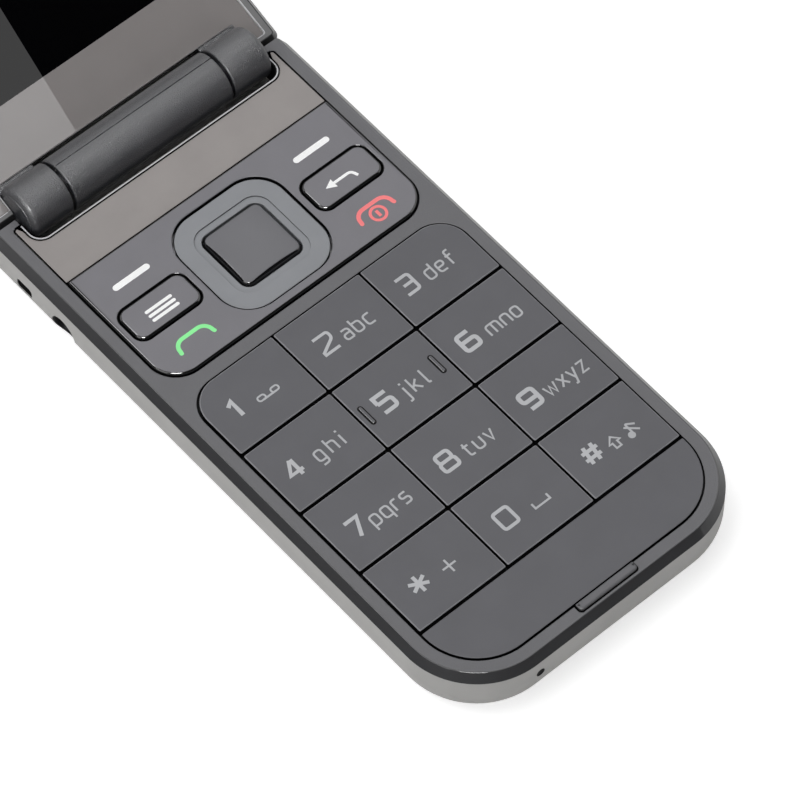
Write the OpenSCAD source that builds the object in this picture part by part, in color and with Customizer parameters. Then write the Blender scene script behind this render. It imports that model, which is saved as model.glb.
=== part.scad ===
// Folding telephone, opened flat on a table: a keypad half and a display half on one barrel hinge.
// Origin in the middle of the keypad half's underside, +Y towards the hinge, +Z up, millimetres.

/* [Keypad half] */
// Width over the side walls, also of the display half
base_w = 54.1; // [52:0.1:57]
// Thickness from the underside to the face
base_t = 10.4; // [10.2:0.1:12]
// Plan radius of the two corners away from the hinge
corner_r = 12.5; // [10:0.5:13]
// Radius of the rounded lower edge
edge_r = 5.1; // [4:0.1:5.4]
// Width of the sloped edge round the face
chamfer_run = 1.0; // [0.6:0.1:1.2]
// Height of the sloped edge, which is the thickness of the front housing
front_t = 1.4; // [1.2:0.1:1.8]
// Radius of the lower edge at the hinge end of both halves
end_edge_r = 1.5; // [1:0.1:2]
// Thickness of the side walls
wall = 1.4; // [1.1:0.1:1.6]
// Thickness of the underside
floor_t = 1.2; // [1:0.1:1.5]
// Thickness of the deck that carries the circuit board
deck_t = 0.6; // [0.5:0.1:0.8]
// Flat rim between the keys and the sloped edge
rim_w = 1.9; // [1.6:0.1:2.2]
// Length of the battery cover from the front end
cover_l = 76.5; // [70:0.5:79]
// Height of the battery cover's side
cover_h = 3.0; // [2.6:0.1:3.3]

/* [Number keys] */
// Distance from one row of number keys to the next
row_pitch = 12.48; // [11.5:0.01:13.5]
// Length of the plain strip in front of the number keys
blank_l = 10.2; // [9:0.1:12]
// Gap round every key
key_gap = 0.25; // [0.2:0.05:0.35]
// Height of the number keys above the face
key_rise = 0.2; // [0.1:0.05:0.3]
// Thickness of a number key
key_t = 1.3; // [1.1:0.05:1.4]
// Travel of every key
key_travel = 0.3; // [0.2:0.05:0.35]
// Plan radius of the keypad's two corners next to the function keys
keypad_r = 5; // [4:0.5:6]
// Width of the lid rest bar
rest_w = 10.7; // [8:0.1:14]
// Depth of the lid rest bar
rest_l = 1.4; // [1:0.1:1.5]
// Height of the lid rest bar above the face
rest_rise = 0.5; // [0.4:0.05:0.6]

/* [Function keys] */
// Rim strip between the number keys and the function plate
bridge_w = 2.2; // [1.8:0.1:3]
// Length of the function plate
plate_l = 22.9; // [22.4:0.1:25]
// Plan radius of the function plate's two front corners
plate_r = 4.7; // [3.5:0.1:6]
// Height of the function plate above the face
plate_rise = 0.45; // [0.3:0.05:0.5]
// Thickness of the function plate
plate_t = 1.25; // [1.1:0.05:1.3]
// Width of the direction ring
ring_w = 18.7; // [17.5:0.1:19.2]
// Plan radius of the direction ring's corners
ring_r = 5.2; // [4:0.1:6]
// Height of the direction ring above the face
ring_rise = 0.15; // [0.1:0.05:0.3]
// How far the direction ring lies in front of the plate's middle
ring_shift = 0.4; // [0:0.1:0.6]
// Width of the select key
select_w = 10.6; // [9.5:0.1:11]
// Height of the select key above the face
select_rise = 0.75; // [0.5:0.05:0.8]
// Strip of the function plate on each side of the menu and back keys
side_key_strip = 1.1; // [0.8:0.1:2]
// Length of the menu and back keys
side_key_l = 6; // [5:0.1:7]
// Plan radius of the menu and back keys' corners
side_key_r = 1.6; // [1:0.1:2]
// Height of the menu and back keys above the face
side_key_rise = 0.7; // [0.5:0.05:0.75]

/* [Trim plate] */
// Length of the trim plate between the function plate and the hinge recess
trim_l = 7.5; // [6.5:0.1:9]
// Thickness of the trim plate
trim_t = 0.5; // [0.4:0.05:0.6]
// Width of the raised lip round the hinge recess
lip_w = 0.35; // [0.3:0.05:0.5]
// Width of the trim plate's two arms
arm_w = 1.0; // [0.8:0.1:1.2]

/* [Hinge] */
// Radius of the hinge barrel
barrel_r = 4.25; // [4:0.05:4.5]
// How far the middle of the barrel, which belongs to the keypad half, stays inside the side walls
barrel_inset = 12.45; // [11.5:0.05:13.5]
// Length of each end knuckle, which belongs to the display half
knuckle_l = 6.4; // [5.5:0.1:6.8]
// Gap between the middle of the barrel and a knuckle
knuckle_gap = 0.12; // [0.1:0.01:0.2]
// Thickness of the two barrel shells
shell_t = 0.95; // [0.8:0.05:1.1]
// Radius of the hinge pin and of the hinge shaft
pin_r = 1.5; // [1.3:0.05:1.7]
// Radial running clearance of the pin and the shaft
pin_clear = 0.05; // [0.02:0.01:0.08]
// Gap between the faces of the two halves when shut
shut_gap = 0.8; // [0.8:0.05:1]
// Space between the barrel and the wall of its recess
recess_gap = 1.2; // [1:0.1:1.6]
// Angle to which the display half opens
open_angle = 160.5; // [150:0.5:175]

/* [Display half] */
// Thickness of the display half
lid_t = 7.4; // [7:0.1:8.5]
// Width of the sloped edge round its face
lid_chamfer = 0.9; // [0.7:0.1:1.2]
// Radius of its rounded outer edge
lid_edge_r = 3; // [2:0.1:3.5]
// Flat frame strip round the window
frame_w = 1.25; // [0.9:0.05:1.5]
// How far the window lies below the frame
window_drop = 0.4; // [0.4:0.05:0.5]
// Width of the display
display_w = 46; // [40:0.5:48]
// Length of the display
display_l = 62; // [55:0.5:66]
// Thickness of the display
display_t = 2.4; // [2:0.1:2.8]
// Distance of the display from the hinge axis
display_start = 12.5; // [12:0.1:14]

/* [Ports] */
// Radius of the headset socket's bore
jack_r = 1.8; // [1.76:0.01:1.85]
// Depth of the headset socket's bore
jack_depth = 13; // [11:0.5:14]
// Radius of the opening round the headset socket
jack_mouth_r = 2.5; // [2.3:0.1:2.6]
// Height of the headset socket's axis above the underside
jack_z = 4.2; // [4:0.1:4.4]
// Distance of the two side sockets from the hinge axis
socket_back = 15.85; // [15.5:0.05:16.5]
// Width of the charging socket
charge_w = 9; // [7:0.1:9.2]
// Height of the charging socket
charge_h = 3.2; // [2.6:0.1:3.3]
// Length of the strap slot
strap_l = 3.3; // [2.6:0.1:3.6]
// Height of the strap slot
strap_h = 2; // [1.6:0.1:2.4]
// Radius of the microphone hole
mic_r = 0.6; // [0.5:0.05:0.7]

/* [Inside] */
// Width of the battery
battery_w = 38; // [34:0.5:42]
// Length of the battery
battery_l = 57; // [50:0.5:59]
// Room between the loudspeaker and the battery
battery_gap = 4.1; // [3:0.1:6]
// Thickness of the battery
battery_t = 3.6; // [3:0.1:3.8]
// Thickness of the circuit board
board_t = 0.8; // [0.6:0.1:1]
// Thickness of the rubber key mat
mat_t = 0.3; // [0.25:0.05:0.35]
// Radius of a contact dome
dome_r = 2; // [1.5:0.1:2.2]
// Height of a contact dome with its film
dome_t = 0.2; // [0.15:0.05:0.22]
// Width of the loudspeaker box
speaker_w = 16; // [12:0.5:20]
// Length of the loudspeaker box
speaker_l = 7.4; // [6:0.1:7.6]
// Width of one sound slot under the loudspeaker
slot_w = 1.1; // [0.8:0.1:1.4]
// Length of one sound slot under the loudspeaker
slot_l = 4.5; // [3:0.1:5]
// Radius of the vibration motor
motor_r = 4; // [3:0.1:4.2]
// Thickness of the vibration motor
motor_t = 2.8; // [2:0.1:3.2]
// Width of the card holder
holder_w = 16; // [13:0.5:18]
// Length of the card holder
holder_l = 15; // [12:0.5:17]
// Width of the microphone
mic_w = 3; // [2.5:0.1:3.2]
// Thickness of the microphone
mic_t = 1.5; // [1:0.1:1.8]
// Radius of a screw's thread
screw_r = 0.5; // [0.4:0.05:0.6]
// Radius of a screw's head
screw_head_r = 1.2; // [1:0.1:1.4]

/* [Hidden] */
$fn = 64;
EPS = 0.01;
FIT = 0.05;

dark = [0.42, 0.42, 0.44];
key_grey = [0.38, 0.38, 0.40];
plate_grey = [0.45, 0.45, 0.47];
ring_grey = [0.53, 0.54, 0.56];
wall_grey = [0.66, 0.66, 0.64];
taupe = [0.58, 0.56, 0.53];
charcoal = [0.22, 0.22, 0.24];
black = [0.05, 0.05, 0.06];
steel = [0.72, 0.73, 0.75];
board_green = [0.10, 0.30, 0.18];
rubber_grey = [0.30, 0.30, 0.31];

row_count = 4;
column_count = 3;

// Places along the keypad half, from its front end to the hinge axis
recess_d = barrel_r + recess_gap;
hinge_back = 0.25;
rear_rim = lip_w + recess_d;
window_l = blank_l + row_count * row_pitch + key_gap;
base_l = chamfer_run + rim_w + window_l + bridge_w + plate_l + 2 * key_gap + trim_l + rear_rim - hinge_back;
y_front = -base_l / 2;
y_back = base_l / 2;
y_keys = y_front + chamfer_run + rim_w;
y_rows = y_keys + blank_l + key_gap / 2;
y_bridge = y_keys + window_l;
y_plate = y_bridge + bridge_w;
y_trim = y_plate + plate_l + 2 * key_gap;
y_recess = y_trim + trim_l + lip_w;
hinge_y = y_recess + recess_d;
y_cover = y_front + cover_l;
y_blank_mid = y_keys + blank_l / 2;
y_plate_mid = y_plate + key_gap + plate_l / 2;
y_ring = y_plate_mid - ring_shift;
y_side_key = y_plate_mid - 0.3;
strap_y = y_recess - strap_l / 2 - 0.25;
y_cavity = strap_y - strap_l / 2 - 0.9;
y_socket = hinge_y - socket_back;
trim_back = 1.66;
y_trim_tip = hinge_y - trim_back;
saddle_gap = 0.4;
saddle_l = 2.6;

// Widths across the keypad half
window_w = base_w - 2 * chamfer_run - 2 * rim_w;
key_pitch = (window_w - key_gap) / column_count;
key_w = key_pitch - key_gap;
plate_w = window_w - 2 * key_gap;
side_key_x = (plate_w / 2 + ring_w / 2 + key_gap) / 2;
side_key_w = plate_w / 2 - ring_w / 2 - 3 * key_gap - 2 * side_key_strip;
barrel_half = base_w / 2 - barrel_inset;
barrel_end = barrel_half + knuckle_gap + knuckle_l;
recess_half = plate_w / 2 - arm_w - lip_w;
blank_r = corner_r - chamfer_run - rim_w;
hinge_corner_r = chamfer_run + 0.2;
split_turn = 8;
split_gap = 0.03;
can_inset = 0.15;
can_start = 1;
shaft_start = 6;
bush_l = 6;
pin_inset = 1.2;
press_fit = 0.01;
knuckle_edge = 0.9;
neck_start = 1;
neck_drop = 1.6;

// Heights in the keypad half
face_z = base_t;
rear_t = base_t - front_t;
mat_z = rear_t - mat_t;
key_low = face_z + key_rise - key_t;
plate_low = face_z + plate_rise - plate_t;
ring_t = 1;
ring_low = face_z + ring_rise - ring_t;
cap_low = rear_t + key_travel + 0.05;
pusher_r = 1.2;
pusher_in = 1.9;
ring_step = 0.12;
ring_step_w = (ring_w + select_w) / 2 - 1.4;
select_r = 1.4;
select_dome = 40;
nav_pad_w = 6;
nav_pad_l = 2.2;
function_pad_w = 12;
function_pad_l = 1;
plate_push = plate_l / 2 - 4;
rest_seat = 0.8;
key_corner_r = 0.25;
mark_w = 0.9;
mark_l = 3.8;
mark_rise = 0.2;
mark_in = 1.4;
board_z = mat_z - 0.8 - board_t;
deck_z = board_z - deck_t;
dome_z = board_z + board_t;
pusher_low = dome_z + dome_t + key_travel + 0.05;
pad_t = 0.2;
plate_pad_z = plate_low - 0.1 - pad_t;
ring_pad_z = ring_low - 0.13 - pad_t;
rib_t = 1;
battery_clear = 0.1;
battery_z = floor_t + 0.2;
contact_l = 3.2;
contact_w = 12;
contact_pitch = 4;
contact_tip = 1.2;
contact_tip_t = 0.9;
motor_gap = 1;
holder_back = 8.5;
y_battery = y_blank_mid + speaker_l / 2 + battery_gap;
y_bay = y_battery + battery_l + contact_l;
cover_gap = 0.1;
cover_seam = 0.08;
hinge_z = face_z + shut_gap / 2;
recess_z = hinge_z - recess_d + 0.2;
jack_set = 1.6;
jack_nose = 0.9;
jack_x = -base_w / 2 + jack_set + jack_nose;
jack_body = 2 * jack_r + 1.2;
strap_z = face_z - 5.1;
charge_l = 7.6;
charge_r = 1.2;
charge_skin = 0.3;
charge_end = 0.8;
tongue_t = 0.7;
charge_x = base_w / 2 - wall - 0.4 - charge_l;
strap_deep = 3.5;
strap_pin_r = 0.45;
strap_pin_x = -base_w / 2 + 1.7;
mic_z = face_z - 4.2;
mic_l = 2.2;
mic_x = -base_w / 4 - 0.4;
boss_r = screw_r + 1;
screw_clear = 0.2;
well_r = screw_head_r + screw_clear + 0.7;
screw_front_x = charge_x + 0.5;
screw_back_x = motor_r + well_r + 1.6;
well_lap = 0.35;
screw_back_y = y_cavity - well_r + well_lap;
screw_spots = [
  [-screw_front_x, y_blank_mid],
  [screw_front_x, y_blank_mid],
  [-screw_back_x, screw_back_y],
  [screw_back_x, screw_back_y]
];

// Display half, in its own frame: hinge axis at the origin, face up, hinge end at small y
lid_tilt = 180 - open_angle;
lid_y0 = 0.25;
lid_l = hinge_y - y_front - lid_y0;
lid_face = -shut_gap / 2;
lid_frame_t = front_t;
lid_rear_t = lid_t - lid_frame_t;
lid_low = lid_face - lid_t;
lid_corner_r = lid_chamfer + 0.2;
lid_recess = recess_d - 0.1;
lid_recess_half = recess_half - 0.4;
lid_recess_z = -recess_d + 0.2;
window_half = base_w / 2 - lid_chamfer - frame_w;
window_y0 = lid_y0 + 0.6;
window_y1 = lid_y0 + lid_l - lid_chamfer - frame_w;
window_r = corner_r - lid_chamfer - frame_w;
window_t = lid_frame_t - window_drop;
window_low = lid_face - lid_frame_t;
ledge_t = 0.9;
ledge_low = window_low - ledge_t;
lid_wall = 1.2;
lid_block = lid_recess + 1.4;
ear_y = lid_y0 + lid_l - 7;
ear_w = 10;
ear_slot = 1;
lid_board_end = 12;
lid_board_r = 4;
ear_l = 4.4;
ear_t = 2.55;
ear_seat = 0.05;
magnet_l = 5;
magnet_w = 3;
magnet_t = 2;
magnet_seat = 0.1;

// A plain square with its two front corners rounded by r_front and its two back ones by r_back
module corner_plate(w, y0, y1, r_front, r_back) {
  difference() {
    translate([-w / 2, y0]) square([w, y1 - y0]);
    for (s = [-1, 1]) {
      translate([s * w / 2, y0]) scale_corner(s, 1) corner_cut(r_front);
      translate([s * w / 2, y1]) scale_corner(s, -1) corner_cut(r_back);
    }
  }
}

// Turns a cut made for a left front corner to another corner
module scale_corner(side, end) {
  mirror([side > 0 ? 1 : 0, 0]) mirror([0, end < 0 ? 1 : 0]) children();
}

// What a rounded corner takes off a square one
module corner_cut(r) {
  if (r > 0) difference() {
    translate([-1, -1]) square(r + 1);
    translate([r, r]) circle(r);
  }
}

// A rounded square centred on the origin
module round_plate(w, l, r) {
  corner_plate(w, -l / 2, l / 2, r, r);
}

// A slab with a sloped edge all round its top, from the origin up
module sloped_slab(w, l, r_front, r_back, t, run) {
  band = run + 0.2;
  for (s = [-1, 1]) {
    translate([s * (w / 2 - band), 0, 0]) mirror([s < 0 ? 1 : 0, 0, 0]) translate([0, l - r_back, 0])
      rotate([90, 0, 0]) linear_extrude(l - r_back - r_front) slope_profile(band, t, run);
    translate([s * (w / 2 - r_front), r_front, 0])
      rotate(s > 0 ? 270 : 180) rotate_extrude(angle = 90)
        translate([r_front - band, 0]) slope_profile(band, t, run);
    translate([s * (w / 2 - r_back), l - r_back, 0])
      rotate(s > 0 ? 0 : 90) rotate_extrude(angle = 90)
        translate([r_back - band, 0]) slope_profile(band, t, run);
  }
  translate([-w / 2 + r_front, band, 0]) rotate([90, 0, 90])
    linear_extrude(w - 2 * r_front) mirror([1, 0]) slope_profile(band, t, run);
  translate([-w / 2 + r_back, l - band, 0]) rotate([90, 0, 90])
    linear_extrude(w - 2 * r_back) slope_profile(band, t, run);
  linear_extrude(t) corner_plate(w - 2 * band, band, l - band, r_front - band, r_back - band);
}

// Section through a sloped edge, outwards to the right
module slope_profile(band, t, run) {
  polygon([[0, 0], [band, 0], [band - run, t], [0, t]]);
}

// A block with rounded front corners and a rounded lower edge on three sides; its hinge end is straight
module rounded_block(w, l, r, edge, h) {
  for (s = [-1, 1]) {
    translate([s * (w / 2 - edge), 0, 0]) mirror([s < 0 ? 1 : 0, 0, 0]) translate([0, l, 0])
      rotate([90, 0, 0]) linear_extrude(l - r) edge_profile(edge, h);
    translate([s * (w / 2 - r), r, 0]) rotate(s > 0 ? 270 : 180) rotate_extrude(angle = 90)
      translate([r - edge, 0]) edge_profile(edge, h);
  }
  translate([-w / 2 + r, edge, 0]) rotate([90, 0, 90])
    linear_extrude(w - 2 * r) mirror([1, 0]) edge_profile(edge, h);
  linear_extrude(h) corner_plate(w - 2 * edge, edge, l, r - edge, 0);
}

// Section through a rounded lower edge, outwards to the right
module edge_profile(edge, h) {
  translate([0, edge]) square([edge, h - edge]);
  intersection() {
    translate([0, edge]) circle(edge);
    square(edge);
  }
}

// Upright cuts that round the two hinge-end corners of a block of length l
module hinge_corner_cuts(w, l, r, h) {
  for (s = [-1, 1])
    translate([s * w / 2, l, -1]) linear_extrude(h + 2) scale_corner(s, -1) corner_cut(r);
}

// A cut along X that rounds the lower edge of a block's hinge end at length l
module end_edge_cut(w, l, r) {
  translate([-w / 2 - 1, l, 0]) rotate([90, 0, 90]) linear_extrude(w + 2) mirror([1, 0]) corner_cut(r);
}

// A cylinder along X from x0 to x1 on the hinge axis
module axle(r, x0, x1) {
  translate([x0, 0, 0]) rotate([0, 90, 0]) cylinder(r = r, h = x1 - x0);
}

// Moves a piece on the hinge axis to its place in the keypad half
module on_hinge() {
  translate([0, hinge_y, hinge_z]) children();
}

// Moves a piece of the display half to its opened place
module on_lid() {
  on_hinge() rotate([lid_tilt, 0, 0]) children();
}

// Plan of the hinge recess in the keypad half
module recess_plan(grow) {
  corner_plate(2 * recess_half + 2 * grow, y_recess - grow, y_back + 5, 2, 0);
}

// The recess for the barrel, without the saddle that carries its middle
module recess_cut() {
  difference() {
    translate([0, 0, recess_z]) linear_extrude(base_t) recess_plan(0);
    difference() {
      translate([-barrel_half + saddle_gap, hinge_y - saddle_l, 0])
        cube([2 * barrel_half - 2 * saddle_gap, 2 * recess_d, hinge_z]);
      on_hinge() axle(barrel_r + FIT, -barrel_half - 1, barrel_half + 1);
    }
  }
}

// Plan of the through window for the number keys
module key_window_plan() {
  corner_plate(window_w, y_rows, y_bridge, 0, keypad_r);
}

// Plan of the shallow seat for the plain strip
module blank_plan(grow) {
  corner_plate(window_w + 2 * grow, y_keys - grow, y_rows + EPS, blank_r + grow, 0);
}

// Plan of the window for the function plate
module plate_plan(grow) {
  corner_plate(plate_w + 2 * grow, y_plate + key_gap - grow, y_plate + key_gap + plate_l + grow,
    plate_r + grow, 0.3 + grow);
}

// Plan of the trim plate
module trim_plan(grow) {
  difference() {
    corner_plate(plate_w + 2 * grow, y_trim - grow, y_trim_tip + grow, 0, 0.4 + grow);
    recess_plan(lip_w - grow);
  }
}

// Room inside the rear housing, a smaller block with the same rounding
module inside_block(w, l, inset) {
  translate([0, inset, floor_t])
    rounded_block(w - 2 * inset, l, corner_r - inset, edge_r - floor_t, base_t);
}

module base_front_housing() {
  color(dark) {
    difference() {
      union() {
        translate([0, y_front, rear_t])
          sloped_slab(base_w, base_l, corner_r, hinge_corner_r, front_t, chamfer_run);
        for (p = screw_spots)
          translate([p[0], p[1], deck_z + deck_t]) cylinder(r = boss_r, h = rear_t - deck_z - deck_t + 0.4);
      }
      translate([0, 0, rear_t - 1]) linear_extrude(front_t + 2) key_window_plan();
      translate([0, 0, face_z - trim_t]) linear_extrude(trim_t + 1) blank_plan(0);
      translate([0, 0, rear_t - 1]) linear_extrude(front_t + 2) plate_plan(key_gap);
      translate([0, 0, face_z - trim_t]) linear_extrude(trim_t + 1) trim_plan(FIT);
      translate([-rest_w / 2 - FIT, y_keys - rest_l - FIT, face_z - rest_seat])
        cube([rest_w + 2 * FIT, rest_l + 1, rest_seat + 1]);
      translate([0, 0, rear_t - 1]) linear_extrude(front_t + 2) recess_plan(0);
      for (p = screw_spots)
        translate([p[0], p[1], 0]) cylinder(r = screw_r + FIT, h = rear_t + 0.2);
    }
  }
}

module base_rear_housing() {
  color(wall_grey) difference() {
    union() {
      difference() {
        translate([0, y_front, 0]) rounded_block(base_w, base_l, corner_r, edge_r, rear_t);
        translate([0, y_front, 0]) hinge_corner_cuts(base_w, base_l, hinge_corner_r, base_t);
        translate([0, y_front, 0]) end_edge_cut(base_w, base_l, end_edge_r);
        translate([-base_w, y_front - 1, -1]) cube([2 * base_w, cover_l + 1, cover_h + 1]);
        intersection() {
          translate([0, y_front, 0]) inside_block(base_w, base_l, wall);
          translate([-base_w, y_front, 0]) cube([2 * base_w, y_bay - y_front, deck_z]);
        }
        intersection() {
          translate([0, y_front, 0]) inside_block(base_w, base_l, wall);
          translate([-base_w, y_bay + rib_t, 0]) cube([2 * base_w, y_cavity - y_bay - rib_t, deck_z]);
        }
        translate([0, 0, deck_z + deck_t]) linear_extrude(base_t)
          corner_plate(base_w - 2 * wall, y_front + wall, y_cavity, corner_r - wall, 0);
      }
      for (s = [-1, 1])
        translate([s * screw_back_x, screw_back_y, floor_t / 2])
          cylinder(r = well_r, h = deck_z - floor_t / 2 + EPS);
    }
    recess_cut();
    for (p = screw_spots) translate([p[0], p[1], 0]) cylinder(r = screw_r + screw_clear, h = base_t);
    for (s = [-1, 1])
      translate([s * screw_back_x, screw_back_y, -1])
        cylinder(r = screw_head_r + screw_clear, h = deck_z + 1);
    jack_space();
    charge_space();
    strap_space();
    translate([mic_x, y_front - 1, mic_z]) rotate([-90, 0, 0]) cylinder(r = mic_r, h = wall + 2);
  }
}

// Opening for the headset socket in the left wall and the deck
module jack_space() {
  translate([-base_w / 2 - 1, y_socket, jack_z]) rotate([0, 90, 0])
    cylinder(r = jack_mouth_r, h = jack_set + jack_nose + 2);
  translate([jack_x, y_socket - jack_body / 2 - 0.1, jack_z - jack_body / 2])
    cube([jack_depth + 1.4, jack_body + 0.2, base_t]);
}

// Opening for the charging socket in the right wall and the deck
module charge_space() {
  translate([base_w / 2 - wall - 1, y_socket, board_z - charge_h / 2])
    rotate([90, 0, 90]) linear_extrude(wall + 3)
      round_plate(charge_w - 0.5, charge_h - 0.5, charge_r - charge_skin);
  translate([charge_x - 0.4, y_socket - charge_w / 2 - 0.2, deck_z - 1])
    cube([charge_l + 0.8, charge_w + 0.4, deck_t + 2]);
  translate([charge_x - 0.4, y_socket - charge_w / 2 - 0.2, board_z - charge_h - 2 * FIT])
    cube([charge_l + 0.4 + FIT, charge_w + 0.4, deck_z - board_z + charge_h]);
}

// Slot in the left wall with the holes for its pin
module strap_space() {
  translate([-base_w / 2 - 1, strap_y, strap_z]) rotate([90, 0, 90])
    linear_extrude(strap_deep + 1) round_plate(strap_l, strap_h, 0.7);
  translate([strap_pin_x, strap_y, strap_z - strap_h / 2 - 0.6])
    cylinder(r = strap_pin_r + FIT, h = strap_h + 1.2);
}

module battery_cover() {
  color(wall_grey) difference() {
    intersection() {
      translate([0, y_front, 0]) rounded_block(base_w, base_l, corner_r, edge_r, rear_t);
      translate([-base_w, y_front - 1, -1])
        cube([2 * base_w, cover_l + 1 - cover_gap, cover_h + 1 - cover_seam]);
    }
    translate([0, y_front, 0]) inside_block(base_w, base_l, wall);
    for (i = [-2 : 2])
      translate([i * 2.4 * slot_w, y_blank_mid, -1]) linear_extrude(floor_t + 2)
        round_plate(slot_w, slot_l, 0.45 * slot_w);
  }
}

module trim_plate() {
  color(taupe) translate([0, 0, face_z - trim_t]) linear_extrude(trim_t) trim_plan(0);
}

module keypad_blank() {
  color(key_grey) translate([0, 0, face_z - trim_t]) linear_extrude(trim_t + key_rise)
    corner_plate(window_w - 2 * key_gap, y_keys + key_gap, y_rows - key_gap / 2, blank_r - key_gap, 0.2);
}

module lid_rest() {
  color(dark) translate([0, 0, face_z - rest_seat]) linear_extrude(rest_seat + rest_rise)
    corner_plate(rest_w, y_keys - rest_l, y_keys + 0.05, 0.6, 0.1);
}

// One number key: column 0 to 2 from the left, row 0 to 3 from the function plate
module number_key(column, row) {
  x = (column - 1) * key_pitch;
  y0 = y_bridge - (row + 1) * row_pitch;
  top_r = keypad_r - key_gap;
  color(key_grey) {
    translate([x, 0, key_low]) linear_extrude(key_t) difference() {
      corner_plate(key_w, y0, y0 + row_pitch - key_gap, key_corner_r, key_corner_r);
      if (row == 0 && column != 1)
        translate([(column - 1) * key_w / 2, y0 + row_pitch - key_gap])
          scale_corner(column - 1, -1) corner_cut(top_r);
    }
    translate([x, y0 + row_pitch / 2 - key_gap / 2, pusher_low])
      cylinder(r = pusher_r, h = key_low - pusher_low + 0.2);
  }
}

module key_1() { number_key(0, 0); }
module key_2() { number_key(1, 0); }
module key_3() { number_key(2, 0); }
module key_4() { number_key(0, 1); }
module key_6() { number_key(2, 1); }
module key_7() { number_key(0, 2); }
module key_8() { number_key(1, 2); }
module key_9() { number_key(2, 2); }
module key_star() { number_key(0, 3); }
module key_0() { number_key(1, 3); }
module key_hash() { number_key(2, 3); }

// The middle key carries two raised finger marks
module key_5() {
  number_key(1, 1);
  color(key_grey) for (s = [-1, 1])
    translate([s * (key_w / 2 - mark_in), y_bridge - 1.5 * row_pitch, face_z + key_rise - 0.1])
      linear_extrude(mark_rise + 0.1) round_plate(mark_w, mark_l, 0.48 * mark_w);
}

module menu_key() { side_key(-1); }
module back_key() { side_key(1); }

// A key set into the function plate on the given side
module side_key(side) {
  color(plate_grey) translate([side * side_key_x, y_side_key, 0]) {
    translate([0, 0, cap_low]) linear_extrude(face_z + side_key_rise - cap_low)
      round_plate(side_key_w, side_key_l, side_key_r);
    translate([0, 0, pusher_low]) cylinder(r = pusher_r, h = cap_low - pusher_low + 0.2);
  }
}

module select_key() {
  color(charcoal) translate([0, y_ring, 0]) {
    intersection() {
      translate([0, 0, cap_low]) linear_extrude(5) round_plate(select_w, select_w, select_r);
      translate([0, 0, face_z + select_rise - select_dome]) sphere(r = select_dome, $fn = 180);
    }
    translate([0, 0, pusher_low]) cylinder(r = pusher_r, h = cap_low - pusher_low + 0.2);
  }
}

module nav_ring() {
  color(ring_grey) translate([0, y_ring, 0]) {
    difference() {
      translate([0, 0, ring_low]) linear_extrude(ring_t) round_plate(ring_w, ring_w, ring_r);
      translate([0, 0, ring_low - 1]) linear_extrude(ring_t + 2)
        round_plate(select_w + 2 * key_gap, select_w + 2 * key_gap, select_r + key_gap);
      translate([0, 0, ring_low + ring_t - ring_step]) linear_extrude(1)
        round_plate(ring_step_w, ring_step_w, select_r + 1.3);
    }
    for (s = [-1, 1])
      translate([s * (ring_w / 2 - pusher_in), 0, pusher_low])
        cylinder(r = pusher_r, h = ring_low - pusher_low + 0.2);
  }
}

module nav_pad() {
  color(rubber_grey) translate([0, y_ring, 0]) for (s = [-1, 1]) {
    translate([-nav_pad_w / 2, s * (ring_w / 2 - pusher_in) - nav_pad_l / 2, ring_pad_z])
      cube([nav_pad_w, nav_pad_l, pad_t]);
    translate([0, s * (ring_w / 2 - pusher_in), pusher_low])
      cylinder(r = nav_pad_l / 2 - 0.1, h = ring_pad_z - pusher_low + pad_t / 2);
  }
}

module function_plate() {
  color(plate_grey) {
    difference() {
      translate([0, 0, plate_low]) linear_extrude(plate_t) plate_plan(0);
      translate([0, y_ring, plate_low - 1]) linear_extrude(plate_t + 2)
        round_plate(ring_w + 2 * key_gap, ring_w + 2 * key_gap, ring_r + key_gap);
      for (s = [-1, 1])
        translate([s * side_key_x, y_side_key, plate_low - 1]) linear_extrude(plate_t + 2)
          round_plate(side_key_w + 2 * key_gap, side_key_l + 2 * key_gap, side_key_r + key_gap);
    }
    for (s = [-1, 1], e = [-1, 1])
      translate([s * side_key_x, y_plate_mid + e * plate_push, pusher_low])
        cylinder(r = pusher_r, h = plate_low - pusher_low + 0.2);
  }
}

module function_pad() {
  color(rubber_grey) for (e = [-1, 1])
    translate([0, y_plate_mid + e * (plate_l / 2 - 0.3 - function_pad_l / 2), plate_pad_z])
      linear_extrude(pad_t) square([function_pad_w, function_pad_l], center = true);
}

// Every place where a key presses a dome, for the mat and the dome sheet
module at_domes() {
  for (c = [-1 : 1], r = [0 : row_count - 1])
    translate([c * key_pitch, y_bridge - key_gap / 2 - (r + 0.5) * row_pitch]) children();
  for (s = [-1, 1]) {
    translate([s * side_key_x, y_side_key]) children();
    translate([s * (ring_w / 2 - pusher_in), y_ring]) children();
    translate([0, y_ring + s * (ring_w / 2 - pusher_in)]) children();
    for (e = [-1, 1]) translate([s * side_key_x, y_plate_mid + e * plate_push]) children();
  }
  translate([0, y_ring]) children();
}

// Plan of the board and the sheets on it, this far inside the side walls
module board_plan(inset) {
  difference() {
    corner_plate(base_w - 2 * wall - 2 * inset, y_front + wall + inset, y_cavity - inset,
      corner_r - wall - inset, 0.5);
    for (p = screw_spots) translate(p) circle(boss_r + 0.3);
  }
}

module key_mat() {
  color(rubber_grey) translate([0, 0, mat_z]) linear_extrude(mat_t) difference() {
    board_plan(0.4);
    at_domes() circle(pusher_r + 0.5);
    translate([0, y_ring]) square(ring_w + 0.6, center = true);
  }
}

module dome_sheet() {
  color(steel) {
    translate([0, 0, dome_z]) linear_extrude(dome_t / 2) board_plan(0.8);
    translate([0, 0, dome_z]) linear_extrude(dome_t) at_domes() circle(dome_r);
  }
}

module main_board() {
  color(board_green) translate([0, 0, board_z]) linear_extrude(board_t) board_plan(0.2);
}

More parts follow.
